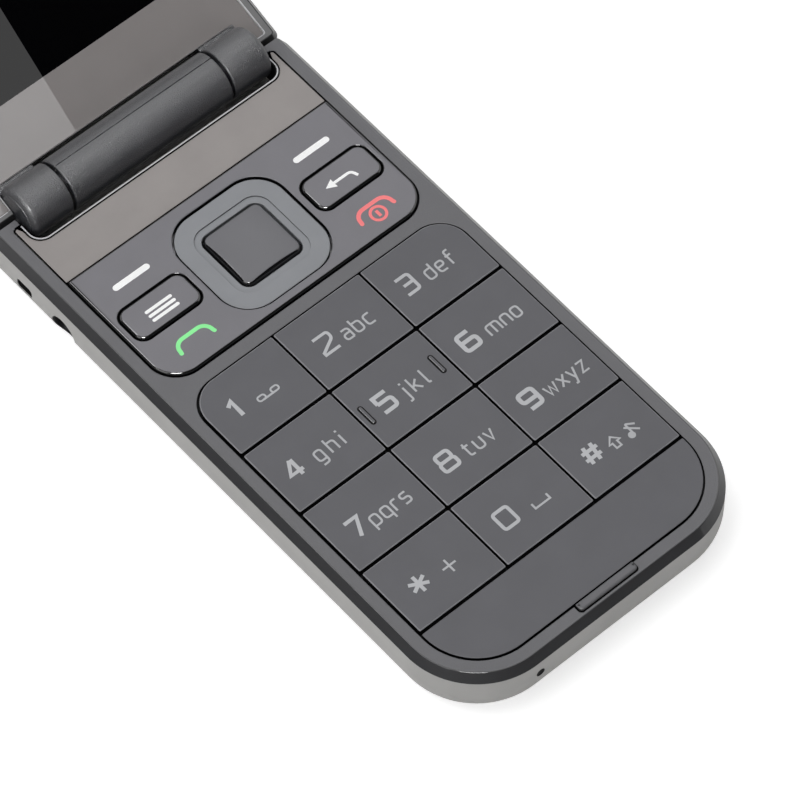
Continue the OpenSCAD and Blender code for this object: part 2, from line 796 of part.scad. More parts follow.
module battery() {
  color(black) translate([0, y_battery + battery_l / 2, battery_z]) linear_extrude(battery_t)
    round_plate(battery_w, battery_l, 1);
}

module battery_contacts() {
  color(steel) {
    translate([-contact_w / 2, y_bay - contact_l / 2, battery_z])
      cube([contact_w, contact_l / 2, battery_t - 0.4]);
    for (i = [-1 : 1])
      translate([i * contact_pitch - contact_tip / 2, y_bay - contact_l + battery_clear, battery_z + 1])
        cube([contact_tip, contact_l / 2, contact_tip_t]);
  }
}

module headset_jack() {
  color(black) difference() {
    union() {
      translate([jack_x + FIT, y_socket - jack_body / 2, jack_z - jack_body / 2 + FIT])
        cube([jack_depth + 1.2, jack_body, board_z - jack_z + jack_body / 2 - FIT]);
      translate([jack_x - jack_nose, y_socket, jack_z]) rotate([0, 90, 0])
        cylinder(r = jack_mouth_r - FIT, h = jack_nose + 1);
    }
    translate([jack_x - jack_nose - 1, y_socket, jack_z]) rotate([0, 90, 0])
      cylinder(r = jack_r, h = jack_depth + 1);
  }
}

module charge_socket() {
  color(steel) {
    difference() {
      translate([charge_x, y_socket, board_z - charge_h / 2])
        rotate([90, 0, 90]) linear_extrude(charge_l) round_plate(charge_w, charge_h, charge_r);
      translate([charge_x + charge_end, y_socket, board_z - charge_h / 2])
        rotate([90, 0, 90]) linear_extrude(charge_l)
          round_plate(charge_w - 2 * charge_skin, charge_h - 2 * charge_skin, charge_r - charge_skin);
    }
    translate([charge_x + charge_end / 2, y_socket - charge_w / 2 + charge_r,
      board_z - charge_h / 2 - tongue_t / 2])
      cube([charge_l - 2 * charge_end, charge_w - 2 * charge_r, tongue_t]);
  }
}

module microphone() {
  color(steel) translate([mic_x - mic_w / 2, y_front + wall + FIT, deck_z - FIT - mic_t])
    cube([mic_w, mic_l, mic_t]);
}

module loudspeaker() {
  color(black) translate([-speaker_w / 2, y_blank_mid - speaker_l / 2, battery_z])
    cube([speaker_w, speaker_l, deck_z - battery_z - FIT]);
}

module vibration_motor() {
  color(steel) translate([0, y_bay + rib_t + motor_gap + motor_r, deck_z - FIT - motor_t])
    cylinder(r = motor_r, h = motor_t);
}

module card_holder() {
  holder_z = battery_z + battery_t + battery_clear;
  color(steel) translate([-holder_w / 2, y_bay - holder_back - holder_l, holder_z])
    cube([holder_w, holder_l, deck_z - FIT - holder_z]);
}

module base_screws() {
  color(steel) for (p = screw_spots) {
    translate([p[0], p[1], deck_z - 0.8]) cylinder(r = screw_head_r, h = 0.8);
    translate([p[0], p[1], deck_z - 0.2]) cylinder(r = screw_r, h = rear_t - deck_z + 0.2);
  }
}

// Half of the barrel's middle: side -1 faces the keys
module barrel_half_shell(side) {
  on_hinge() intersection() {
    difference() {
      axle(barrel_r, -barrel_half, barrel_half);
      axle(barrel_r - shell_t, -barrel_half - 1, barrel_half + 1);
    }
    rotate([-split_turn, 0, 0])
      translate([-barrel_half - 1, side < 0 ? -2 * barrel_r : split_gap, -2 * barrel_r])
        cube([2 * barrel_half + 2, 2 * barrel_r - (side < 0 ? split_gap : 0), 4 * barrel_r]);
  }
}

module barrel_front_shell() {
  color(charcoal) barrel_half_shell(-1);
}

module barrel_rear_shell() {
  color(charcoal) barrel_half_shell(1);
}

module hinge_can() {
  color(steel) on_hinge() difference() {
    axle(barrel_r - shell_t - FIT, can_start, barrel_half - can_inset);
    axle(pin_r + pin_clear, shaft_start - 1, barrel_half + 1);
  }
}

module pivot_bush() {
  color(steel) on_hinge() difference() {
    axle(barrel_r - shell_t - FIT, -barrel_half + can_inset, -barrel_half + bush_l);
    axle(pin_r + press_fit, -barrel_half - 1, -barrel_half + bush_l + 1);
  }
}

module pivot_pin() {
  color(steel) on_hinge() axle(pin_r, -barrel_end + pin_inset, -barrel_half + bush_l);
}

module hinge_shaft() {
  color(steel) on_lid() axle(pin_r, shaft_start, barrel_end - pin_inset);
}

module strap_pin() {
  color(steel) translate([strap_pin_x, strap_y, strap_z - strap_h / 2 - 0.5])
    cylinder(r = strap_pin_r, h = strap_h + 1);
}

// Half section of a knuckle: its axis upright, its rounded end on top
module knuckle_profile() {
  square([barrel_r - knuckle_edge, knuckle_l]);
  square([barrel_r, knuckle_l - knuckle_edge]);
  translate([barrel_r - knuckle_edge, knuckle_l - knuckle_edge]) intersection() {
    circle(knuckle_edge);
    square(knuckle_edge);
  }
}

// Knuckle on the given side with the neck that joins it to the display half
module knuckle(side, bore) {
  on_lid() mirror([side < 0 ? 1 : 0, 0, 0]) difference() {
    union() {
      rotate([0, 90, 0]) translate([0, 0, barrel_half + knuckle_gap]) rotate_extrude() knuckle_profile();
      translate([barrel_half + knuckle_gap, neck_start, lid_recess_z + FIT])
        cube([knuckle_l - knuckle_edge, lid_recess - neck_start - FIT, -lid_recess_z - neck_drop]);
    }
    axle(bore, barrel_half - 1, barrel_end - pin_inset + 0.2);
  }
}

module knuckle_left() {
  color(charcoal) knuckle(-1, pin_r + pin_clear);
}

module knuckle_right() {
  color(charcoal) knuckle(1, pin_r + press_fit);
}

// Plan of the hinge recess in the display half
module lid_recess_plan(grow) {
  corner_plate(2 * lid_recess_half + 2 * grow, -2 * barrel_r, lid_recess + grow, 0, 1.6 + grow);
}

// Turns a plan with its rounded corners at small y to the display half, whose rounded end is far away
module lid_turn() {
  translate([0, lid_y0 + lid_l, 0]) mirror([0, 1, 0]) children();
}

// Plan of the window with its cut-out round the barrel
module window_plan(grow) {
  difference() {
    corner_plate(2 * window_half + 2 * grow, window_y0 - grow, window_y1 + grow, 0.8, window_r + grow);
    lid_recess_plan(0.35 - grow);
  }
}

module lid_frame() {
  color(wall_grey) on_lid() difference() {
    union() {
      translate([0, 0, lid_face - lid_frame_t]) lid_turn()
        sloped_slab(base_w, lid_l, corner_r, lid_corner_r, lid_frame_t, lid_chamfer);
      translate([0, 0, ledge_low]) linear_extrude(lid_face - lid_frame_t - ledge_low + 0.1)
        corner_plate(base_w - 2 * lid_wall - 0.2, lid_block + 0.1, lid_y0 + lid_l - lid_wall - 0.1, 0.5,
          corner_r - lid_wall - 0.1);
    }
    translate([0, 0, window_low]) linear_extrude(5) window_plan(0.08);
    translate([0, 0, lid_low]) linear_extrude(lid_t + 5) lid_recess_plan(0);
    translate([0, 0, ledge_low - 1]) linear_extrude(5)
      corner_plate(display_w + 0.4, display_start - 0.2, display_start + display_l + 0.2, 0.3, 0.3);
    translate([0, ear_y, ledge_low - 1]) linear_extrude(5) round_plate(ear_w + 3, 5, 1);
  }
}

module lid_back() {
  color(wall_grey) on_lid() difference() {
    translate([0, 0, lid_low]) lid_turn() rounded_block(base_w, lid_l, corner_r, lid_edge_r, lid_rear_t);
    translate([0, 0, lid_low]) lid_turn() hinge_corner_cuts(base_w, lid_l, lid_corner_r, lid_t);
    translate([0, 0, lid_low]) lid_turn() end_edge_cut(base_w, lid_l, end_edge_r);
    translate([0, 0, lid_low + lid_wall]) lid_turn() translate([0, lid_wall, 0])
      rounded_block(base_w - 2 * lid_wall, lid_l - lid_wall - lid_block + lid_y0, corner_r - lid_wall,
        lid_edge_r - lid_wall, lid_t);
    translate([0, 0, lid_recess_z]) linear_extrude(lid_t) lid_recess_plan(0);
  }
}

module lid_window() {
  color(taupe) on_lid() translate([0, 0, window_low]) linear_extrude(window_t) difference() {
    window_plan(0);
    translate([0, ear_y]) round_plate(ear_w, ear_slot, ear_slot / 2 - EPS);
  }
}

module display() {
  color(black) on_lid() translate([0, display_start, window_low - display_t - 0.05])
    linear_extrude(display_t) corner_plate(display_w, 0, display_l, 0.1, 0.1);
}

module lid_board() {
  color(board_green) on_lid()
    translate([0, 0, window_low - display_t - 0.15 - board_t]) linear_extrude(board_t)
      corner_plate(display_w, display_start, lid_y0 + lid_l - lid_board_end, 1, lid_board_r);
}

module earpiece() {
  color(steel) on_lid() translate([0, ear_y, window_low - ear_seat - ear_t]) linear_extrude(ear_t)
    round_plate(ear_w + 2, ear_l, 0.8);
}

module lid_magnet() {
  color(steel) on_lid() translate([base_w / 4, ear_y - magnet_w / 2, ledge_low - magnet_seat - magnet_t])
    cube([magnet_l, magnet_w, magnet_t]);
}

base_front_housing();
base_rear_housing();
battery_cover();
trim_plate();
keypad_blank();
lid_rest();
key_mat();
dome_sheet();
main_board();
battery();
battery_contacts();
headset_jack();
charge_socket();
microphone();
loudspeaker();
vibration_motor();
card_holder();
base_screws();
barrel_front_shell();
barrel_rear_shell();
hinge_can();
pivot_bush();
pivot_pin();
strap_pin();
lid_frame();
lid_back();
lid_window();
display();
lid_board();
earpiece();
lid_magnet();
knuckle_left();
knuckle_right();
hinge_shaft();
key_1();
key_2();
key_3();
key_4();
key_5();
key_6();
key_7();
key_8();
key_9();
key_star();
key_0();
key_hash();
menu_key();
back_key();
select_key();
nav_ring();
nav_pad();
function_plate();
function_pad();
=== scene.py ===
"""Looks of a folding telephone that lies opened on a table."""

from __future__ import annotations

import logging
import math
from dataclasses import dataclass
from enum import Enum
from typing import Iterable, Sequence

import bmesh
import bpy
from mathutils import Matrix, Vector
from mathutils.geometry import delaunay_2d_cdt, tessellate_polygon

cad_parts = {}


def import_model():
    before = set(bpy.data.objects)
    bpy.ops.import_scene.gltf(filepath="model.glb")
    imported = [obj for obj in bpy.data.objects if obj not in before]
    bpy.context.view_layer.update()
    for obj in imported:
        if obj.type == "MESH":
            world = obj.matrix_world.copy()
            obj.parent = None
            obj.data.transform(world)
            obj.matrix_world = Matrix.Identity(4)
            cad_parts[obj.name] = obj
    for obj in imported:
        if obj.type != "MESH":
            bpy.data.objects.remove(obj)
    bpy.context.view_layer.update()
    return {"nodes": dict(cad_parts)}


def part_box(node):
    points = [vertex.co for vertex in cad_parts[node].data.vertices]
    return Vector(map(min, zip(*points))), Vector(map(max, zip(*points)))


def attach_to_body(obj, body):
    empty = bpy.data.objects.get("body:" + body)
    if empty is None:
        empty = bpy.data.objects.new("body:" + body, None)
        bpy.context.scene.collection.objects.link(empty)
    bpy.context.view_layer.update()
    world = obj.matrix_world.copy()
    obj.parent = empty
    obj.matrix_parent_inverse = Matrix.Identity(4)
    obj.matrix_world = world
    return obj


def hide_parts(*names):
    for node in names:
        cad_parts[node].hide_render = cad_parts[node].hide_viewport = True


LOG = logging.getLogger("telephone")
MM = 0.001
SHARP_ANGLE = math.radians(40)

# Lengths in millimetres: level strip behind an edge, how far marks reach into and out of a face, small strokes.
FLAT = 0.05
SINK = 0.03
PRINT_RISE = 0.012
LINE_RISE = 0.015
LETTER_WEIGHT = 0.31

# Numbers of points: a plain and a fine circle, a large corner, the soft edge and the top of a domed cap.
PLAIN = 24
FINE = 48
CORNER_STEPS = 32
SOFT_STEPS = 16
DOME_STEPS = 12

# Shares: the longest rounding of a side, the least bend of a stroke, and the even part of a slope.
SIDE_SHARE = 0.49
LEAST_BEND = 0.6
EVEN_SLOPE = 0.94

# Limits: sides that count as parallel, points of a mark that join (mm), edges that count as nothing (m).
PARALLEL = 1e-6
JOIN = 1e-5
NOTHING = 1e-9

# Spread of a finish: ends of the mottle's ramp, factors of the roughness, and layers of the two noises.
RAMP_ENDS = (0.3, 0.7)
GLOSS_FACTORS = (0.9, 1.1)
MOTTLE_DETAIL = 3.0
GRAIN_DETAIL = 2.0

# Finish numbers of the bands of an edge, from the underside up. SLOPED is the slope's own dark finish. The
# shaded bands are painted shade on sides and edges that sit in gaps. The key bands add a painted highlight on
# the keys' top edges, and the step band is painted shade on the ring's step.
SLOPED = (1,) * 9
SHADED_SIDE_BANDS = (1,) * 3
SHADED_EDGE_BANDS = (1,) * 5
SHADED_WALL_BANDS = (2,) * 2
HIGHLIGHT_WALL_BANDS = (2,) * 4
KEY_SHADE_HIGHLIGHT_BANDS = (1,) * 2 + (2,) * 4
STEP_SHADE_BANDS = (0,) * 8 + (2,)

Point = tuple[float, float]
Triple = tuple[float, float, float]
Quad = tuple[float, float, float, float]
Path2 = list[Point]
Ring = list[bmesh.types.BMVert]


class Side(Enum):
    """Left or right of the telephone, as the user sees it."""

    LEFT = -1
    RIGHT = 1


class Body(Enum):
    """The two halves that carry most of the pieces."""

    BASE = "base"
    LID = "lid"


class Glow(Enum):
    """What a lamp is seen in."""

    BOTH = "both"
    MATT = "matt"
    GLOSSY = "glossy"


@dataclass(frozen=True)
class Finish:
    """One surface finish; lengths in millimetres and the colour in display values."""

    name: str
    colour: tuple[int, int, int]
    roughness: float = 0.45
    specular: float = 0.5
    metallic: float = 0.0
    coat: float = 0.0
    coat_roughness: float = 0.08
    grain: float = 0.22
    depth: float = 0.004
    mottle: float = 6.0
    shade: float = 0.05

    def tone(self, factor: float) -> Quad:
        """Give the colour times a factor, as linear values for a shader.

        Args:
            factor: how much lighter or darker than the plain colour.

        Returns:
            Red, green, blue and alpha.
        """
        linear = []
        for value in self.colour:
            v = value / 255
            linear.append((v / 12.92 if v <= 0.04045 else ((v + 0.055) / 1.055) ** 2.4) * factor)
        return (linear[0], linear[1], linear[2], 1.0)

    def material(self) -> bpy.types.Material:
        """Make the node material, or give the one that is already there.

        Returns:
            A material with mottled colour, uneven gloss and moulded grain.
        """
        title = self.name + "_finish"
        made = bpy.data.materials.get(title)
        if made:
            return made
        made = bpy.data.materials.new(title)
        made.use_nodes = True
        tree = made.node_tree
        shader = tree.nodes["Principled BSDF"]
        shader.inputs["Metallic"].default_value = self.metallic
        shader.inputs["Specular IOR Level"].default_value = self.specular
        shader.inputs["Coat Weight"].default_value = self.coat
        shader.inputs["Coat Roughness"].default_value = self.coat_roughness
        place = tree.nodes.new("ShaderNodeTexCoord")
        cloud = self._noise(tree, place, self.mottle, MOTTLE_DETAIL)
        ramp = tree.nodes.new("ShaderNodeValToRGB")
        shades = (1 - self.shade, 1 + self.shade)
        for stop, position, factor in zip(ramp.color_ramp.elements, RAMP_ENDS, shades):
            stop.position = position
            stop.color = self.tone(factor)
        tree.links.new(cloud.outputs["Fac"], ramp.inputs["Fac"])
        tree.links.new(ramp.outputs["Color"], shader.inputs["Base Color"])
        gloss = tree.nodes.new("ShaderNodeMapRange")
        for end, factor in zip(("To Min", "To Max"), GLOSS_FACTORS):
            gloss.inputs[end].default_value = self.roughness * factor
        tree.links.new(cloud.outputs["Fac"], gloss.inputs["Value"])
        tree.links.new(gloss.outputs["Result"], shader.inputs["Roughness"])
        fine = self._noise(tree, place, self.grain, GRAIN_DETAIL)
        bump = tree.nodes.new("ShaderNodeBump")
        bump.inputs["Distance"].default_value = self.depth * MM
        tree.links.new(fine.outputs["Fac"], bump.inputs["Height"])
        tree.links.new(bump.outputs["Normal"], shader.inputs["Normal"])
        return made

    @staticmethod
    def _noise(tree: bpy.types.NodeTree, place: bpy.types.Node, size: float, detail: float) -> bpy.types.Node:
        """Add a noise whose lumps are about size millimetres across.

        Args:
            tree: the material's nodes.
            place: the texture coordinate node.
            size: width of one lump.
            detail: number of finer layers.

        Returns:
            The noise node.
        """
        noise = tree.nodes.new("ShaderNodeTexNoise")
        noise.inputs["Scale"].default_value = 1 / (size * MM)
        noise.inputs["Detail"].default_value = detail
        tree.links.new(place.outputs["Object"], noise.inputs["Vector"])
        return noise


FRONT = Finish("front_housing", (96, 96, 99), 0.45, specular=0.4, depth=0.03)
SLOPE = Finish("front_slope", (48, 48, 50), 0.5, specular=0.2, coat=1.0, coat_roughness=0.06)
# Painted shade: near-black on the sides and edges of keys, plates and openings, where the gaps fall into shade;
# glossy, so that lamps still give glints on it.
GLOSSY_SHADE = Finish("glossy_shade_edge", (13, 13, 14), 0.09, specular=1.0, depth=0.0005)
WALL = Finish("wall", (172, 171, 169), 0.45)
FRAME = Finish("display_frame", (104, 104, 105), 0.45)
FRAME_SLOPE = Finish("display_slope", (46, 46, 47), 0.5, specular=0.2, coat=1.0, coat_roughness=0.06)
# Painted highlight: near-white on the frame's wall round the window.
FRAME_HIGHLIGHT = Finish("display_edge_highlight", (205, 205, 205), 0.35)
# Painted highlight: light grey thin lines round the hinge recess and round the window, where their edges catch
# the light.
HIGHLIGHT_LINE = Finish("recess_highlight_line", (196, 196, 199), 0.35)
TRIM = Finish("trim_plate", (143, 138, 136), 0.42, specular=0.4)
# Painted highlight: light grey on the rounded top edges of the number keys, lighter than the key itself.
KEY_EDGE_HIGHLIGHT = Finish("number_key_edge_highlight", (122, 122, 126), 0.4)
KEY = Finish("number_key", (91, 91, 95), 0.5, specular=0.3, grain=0.16)
PLATE = Finish("function_plate", (111, 110, 115), 0.36, specular=0.4)
# Painted shade: darker grey on the riser of the step round the select key.
RING_STEP_SHADE = Finish("ring_step", (84, 85, 88), 0.45)
RING = Finish("direction_ring", (132, 134, 138), 0.42, specular=0.4)
SELECT = Finish("select_key", (101, 101, 105), 0.34, specular=0.4, depth=0.001, shade=0.02)
# Painted reflection: near-black on the select key's steep edge, where the dark surroundings would be mirrored;
# glossy, so that lamps still give a glint.
SELECT_DARK_REFLECTION = Finish("select_edge", (12, 12, 14), 0.09, specular=1.0, depth=0.0005)
BARREL = Finish(
    "barrel", (40, 41, 46), 0.31, specular=0.9, grain=0.18, depth=0.14, coat=0.5, coat_roughness=0.22
)
LEGEND = Finish("legend", (186, 187, 190), 0.55, specular=0.3)
LETTER = Finish("letter", (180, 181, 184), 0.55, specular=0.3)
WHITE_MARK = Finish("white_mark", (255, 255, 255), 0.5, specular=0.3)
GREEN_MARK = Finish("green_mark", (146, 246, 160), 0.5, specular=0.3)
RED_MARK = Finish("red_mark", (252, 132, 134), 0.5, specular=0.3)
BORDER = Finish("window_border", (133, 129, 128), 0.0, specular=0.65, depth=0.0, shade=0.02)
SCREEN = Finish("screen", (3, 3, 4), 0.0, specular=0.28, depth=0.0)
RUBBER = Finish("rubber", (38, 38, 39), 0.75, specular=0.2, grain=0.3)
BLACK = Finish("black_plastic", (20, 20, 21), 0.5, specular=0.3)
# Painted shade: matt black for sheets, discs and rims put in hollows and round marks that fall into shade.
MATT_SHADE = Finish("shade_lining", (9, 9, 10), 0.6, specular=0.15)
PORT = Finish("port_metal", (92, 92, 94), 0.3, metallic=1.0)
STEEL = Finish("steel", (190, 190, 192), 0.28, metallic=1.0, grain=0.12, depth=0.002)
BOARD = Finish("circuit_board", (26, 78, 48), 0.4, grain=0.5)
CELL = Finish("battery_wrap", (44, 46, 52), 0.35, grain=0.6)


def arc(x: float, y: float, r: float, start: float, end: float, steps: int = 16) -> Path2:
    """Points along a circle from one angle to another.

    Args:
        x: centre.
        y: centre.
        r: radius.
        start: first angle in degrees.
        end: last angle in degrees.
        steps: number of straight pieces.

    Returns:
        The points, or the centre alone where the radius is nothing.
    """
    if r <= 0:
        return [(x, y)]
    angles = [math.radians(start + (end - start) * i / steps) for i in range(steps + 1)]
    return [(x + r * math.cos(a), y + r * math.sin(a)) for a in angles]


def circle(x: float, y: float, r: float, count: int = PLAIN) -> Path2:
    """Points round a whole circle.

    Args:
        x: centre.
        y: centre.
        r: radius.
        count: number of points.

    Returns:
        The outline, counter-clockwise.
    """
    return arc(x, y, r, 0, 360 - 360 / count, count - 1)


def soften(path: Sequence[Point], r: float, closed: bool = False, steps: int = 6) -> Path2:
    """Round the corners of a path.

    Args:
        path: corner points.
        r: how far from a corner the rounding starts.
        closed: whether the last point joins the first.
        steps: number of straight pieces in one rounding.

    Returns:
        The rounded path.
    """
    count = len(path)
    out: Path2 = []
    for i, corner in enumerate(path):
        if not closed and i in (0, count - 1):
            out.append(corner)
            continue
        c = Vector(corner)
        a = Vector(path[i - 1]) - c
        b = Vector(path[(i + 1) % count]) - c
        reach = min(r, SIDE_SHARE * a.length, SIDE_SHARE * b.length)
        p, q = c + a.normalized() * reach, c + b.normalized() * reach
        for k in range(steps + 1):
            t = k / steps
            v = p * (1 - t) ** 2 + c * (2 * t * (1 - t)) + q * t**2
            out.append((v.x, v.y))
    return out


def refine(path: Sequence[Point], step: float) -> Path2:
    """Add points along the long sides of a closed outline.

    Args:
        path: the outline.
        step: longest side that stays as it is.

    Returns:
        The outline with short sides only.
    """
    out: Path2 = []
    for (x0, y0), (x1, y1) in zip(path, list(path[1:]) + [path[0]]):
        count = max(1, math.ceil(math.hypot(x1 - x0, y1 - y0) / step))
        out += [(x0 + (x1 - x0) * k / count, y0 + (y1 - y0) * k / count) for k in range(count)]
    return out


def blend(path: Sequence[Point], other: Sequence[Point], part: float) -> Path2:
    """Points between two outlines of the same count.

    Args:
        path: the first outline.
        other: the second one.
        part: 0 on the first, 1 on the second.

    Returns:
        The outline between them.
    """
    return [(x + (u - x) * part, y + (v - y) * part) for (x, y), (u, v) in zip(path, other)]


@dataclass
class Loop:
    """A closed outline, counter-clockwise.

    An inner outline, reached at a whole inset, may set the place of every point, and each band of the
    edge may have its own finish number.
    """

    points: Path2
    hole: bool = False
    inner: Path2 | None = None
    reach: float = 1.0
    bands: tuple[int, ...] = ()

    def _side(self, i: int) -> Point:
        """Normal of one side towards the material."""
        count = len(self.points)
        (x0, y0), (x1, y1) = self.points[i % count], self.points[(i + 1) % count]
        length = math.hypot(x1 - x0, y1 - y0) * (-1.0 if self.hole else 1.0)
        return (-(y1 - y0) / length, (x1 - x0) / length)

    def ring(self, inset: float) -> Path2:
        """Move every side into the material.

        Args:
            inset: how far, in millimetres.

        Returns:
            The moved outline, point for point.
        """
        if self.inner is not None:
            return blend(self.points, self.inner, inset / self.reach)
        moved: Path2 = []
        for i, (x, y) in enumerate(self.points):
            ax, ay = self._side(i - 1)
            bx, by = self._side(i)
            cross = ax * by - ay * bx
            if abs(cross) < PARALLEL:
                moved.append((x + ax * inset, y + ay * inset))
            else:
                moved.append((x + inset * (by - ay) / cross, y + inset * (ax - bx) / cross))
        return moved


def plate(half: float, y0: float, y1: float, r0: float, r1: float, x: float = 0.0) -> Path2:
    """Outline of a plate with rounded corners.

    Args:
        half: half its width.
        y0: front end.
        y1: back end.
        r0: radius of the front corners.
        r1: radius of the back corners.
        x: middle of its width.

    Returns:
        The outline, counter-clockwise from its left front corner.
    """
    return (
        arc(x - half + r0, y0 + r0, r0, 180, 270)
        + arc(x + half - r0, y0 + r0, r0, 270, 360)
        + arc(x + half - r1, y1 - r1, r1, 0, 90)
        + arc(x - half + r1, y1 - r1, r1, 90, 180)
    )


def notched(
    half: float, far: float, near: float, r_far: float, r_near: float, notch: Point, notch_r: float
) -> Path2:
    """Outline of a plate whose hinge end is cut out round the barrel.

    Args:
        half: half its width.
        far: its end away from the hinge.
        near: its hinge end.
        r_far: radius of the far corners.
        r_near: radius of the corners at the hinge end.
        notch: half width of the cut-out and where it ends.
        notch_r: radius of the cut-out's corners.

    Returns:
        The outline.
    """
    w, y = notch
    flip = -1.0 if far > near else 1.0
    outside = arc(-half + r_far, far * flip + r_far, r_far, 180, 270, CORNER_STEPS)
    outside += arc(half - r_far, far * flip + r_far, r_far, 270, 360, CORNER_STEPS)
    outside += arc(half - r_near, near * flip - r_near, r_near, 0, 90)
    inside = [(w, near * flip)] + arc(w - notch_r, y * flip + notch_r, notch_r, 0, -90)
    inside += arc(-w + notch_r, y * flip + notch_r, notch_r, -90, -180)
    last = [(-w, near * flip)] + arc(-half + r_near, near * flip - r_near, r_near, 90, 180)
    points = outside + inside + last
    return [(px, -py) for px, py in reversed(points)] if flip < 0 else points


def rounded(low: float, high: float, r: float, foot: float = 0.0, steps: int = 5) -> Path2:
    """Edge of a plate with a rounded top, as insets and heights.

    Args:
        low: underside.
        high: top.
        r: radius of the top edge.
        foot: radius of the lower edge.
        steps: number of straight pieces in a rounding.

    Returns:
        The profile from the underside to the top.
    """
    path: Path2 = []
    if foot > 0:
        path += [(foot + FLAT, low)]
        path += [(foot - px, low + foot - py) for px, py in arc(0, 0, foot, 90, 0, steps)]
    else:
        path += [(0.0, low)]
    path += [(r - px, high - r + py) for px, py in arc(0, 0, r, 0, 90, steps)]
    return path + [(r + FLAT, high)]


def sloped(low: float, face: float, run: float, flat: float, edge: float) -> Path2:
    """Edge of a plate with a sloped rim, as insets and heights.

    Args:
        low: underside.
        face: top.
        run: width of the slope.
        flat: width of the level strip behind it.
        edge: rounding between the two.

    Returns:
        The profile from the underside to the top.
    """
    path = soften([(0.0, low), (run, face), (run + flat, face)], edge)
    return path[:1] + blend(path[:1], path[1:2], EVEN_SLOPE) + path[1:]


def stroke(
    path: Sequence[Point], width: float, closed: bool = False, round_ends: bool = False
) -> list[Path2]:
    """Four-sided pieces of a line of even width.

    Args:
        path: middle of the line.
        width: its width.
        closed: whether the last point joins the first.
        round_ends: whether its ends are half circles.

    Returns:
        Outlines that touch or overlap.
    """
    count = len(path)
    points = [Vector(p) for p in path]
    edges: list[tuple[Vector, Vector]] = []
    for i, p in enumerate(points):
        before = (p - points[i - 1]).normalized() if closed or i > 0 else None
        after = (points[(i + 1) % count] - p).normalized() if closed or i < count - 1 else None
        along = ((before or after) + (after or before)).normalized()
        bend = max(along.dot(before or after), LEAST_BEND)
        across = Vector((-along.y, along.x)) * (width / 2 / bend)
        edges.append((p + across, p - across))
    pieces: list[Path2] = []
    for i in range(count if closed else count - 1):
        (a, b), (c, d) = edges[i], edges[(i + 1) % count]
        along = points[(i + 1) % count] - points[i]
        if (c - a).dot(along) <= 0:
            corners = [b, d, (a + c) / 2]
        elif (d - b).dot(along) <= 0:
            corners = [(b + d) / 2, c, a]
        else:
            corners = [b, d, c, a]
        pieces.append([(v.x, v.y) for v in corners])
    if round_ends:
        pieces += [circle(p.x, p.y, width / 2) for p in (points[0], points[-1])]
    return pieces


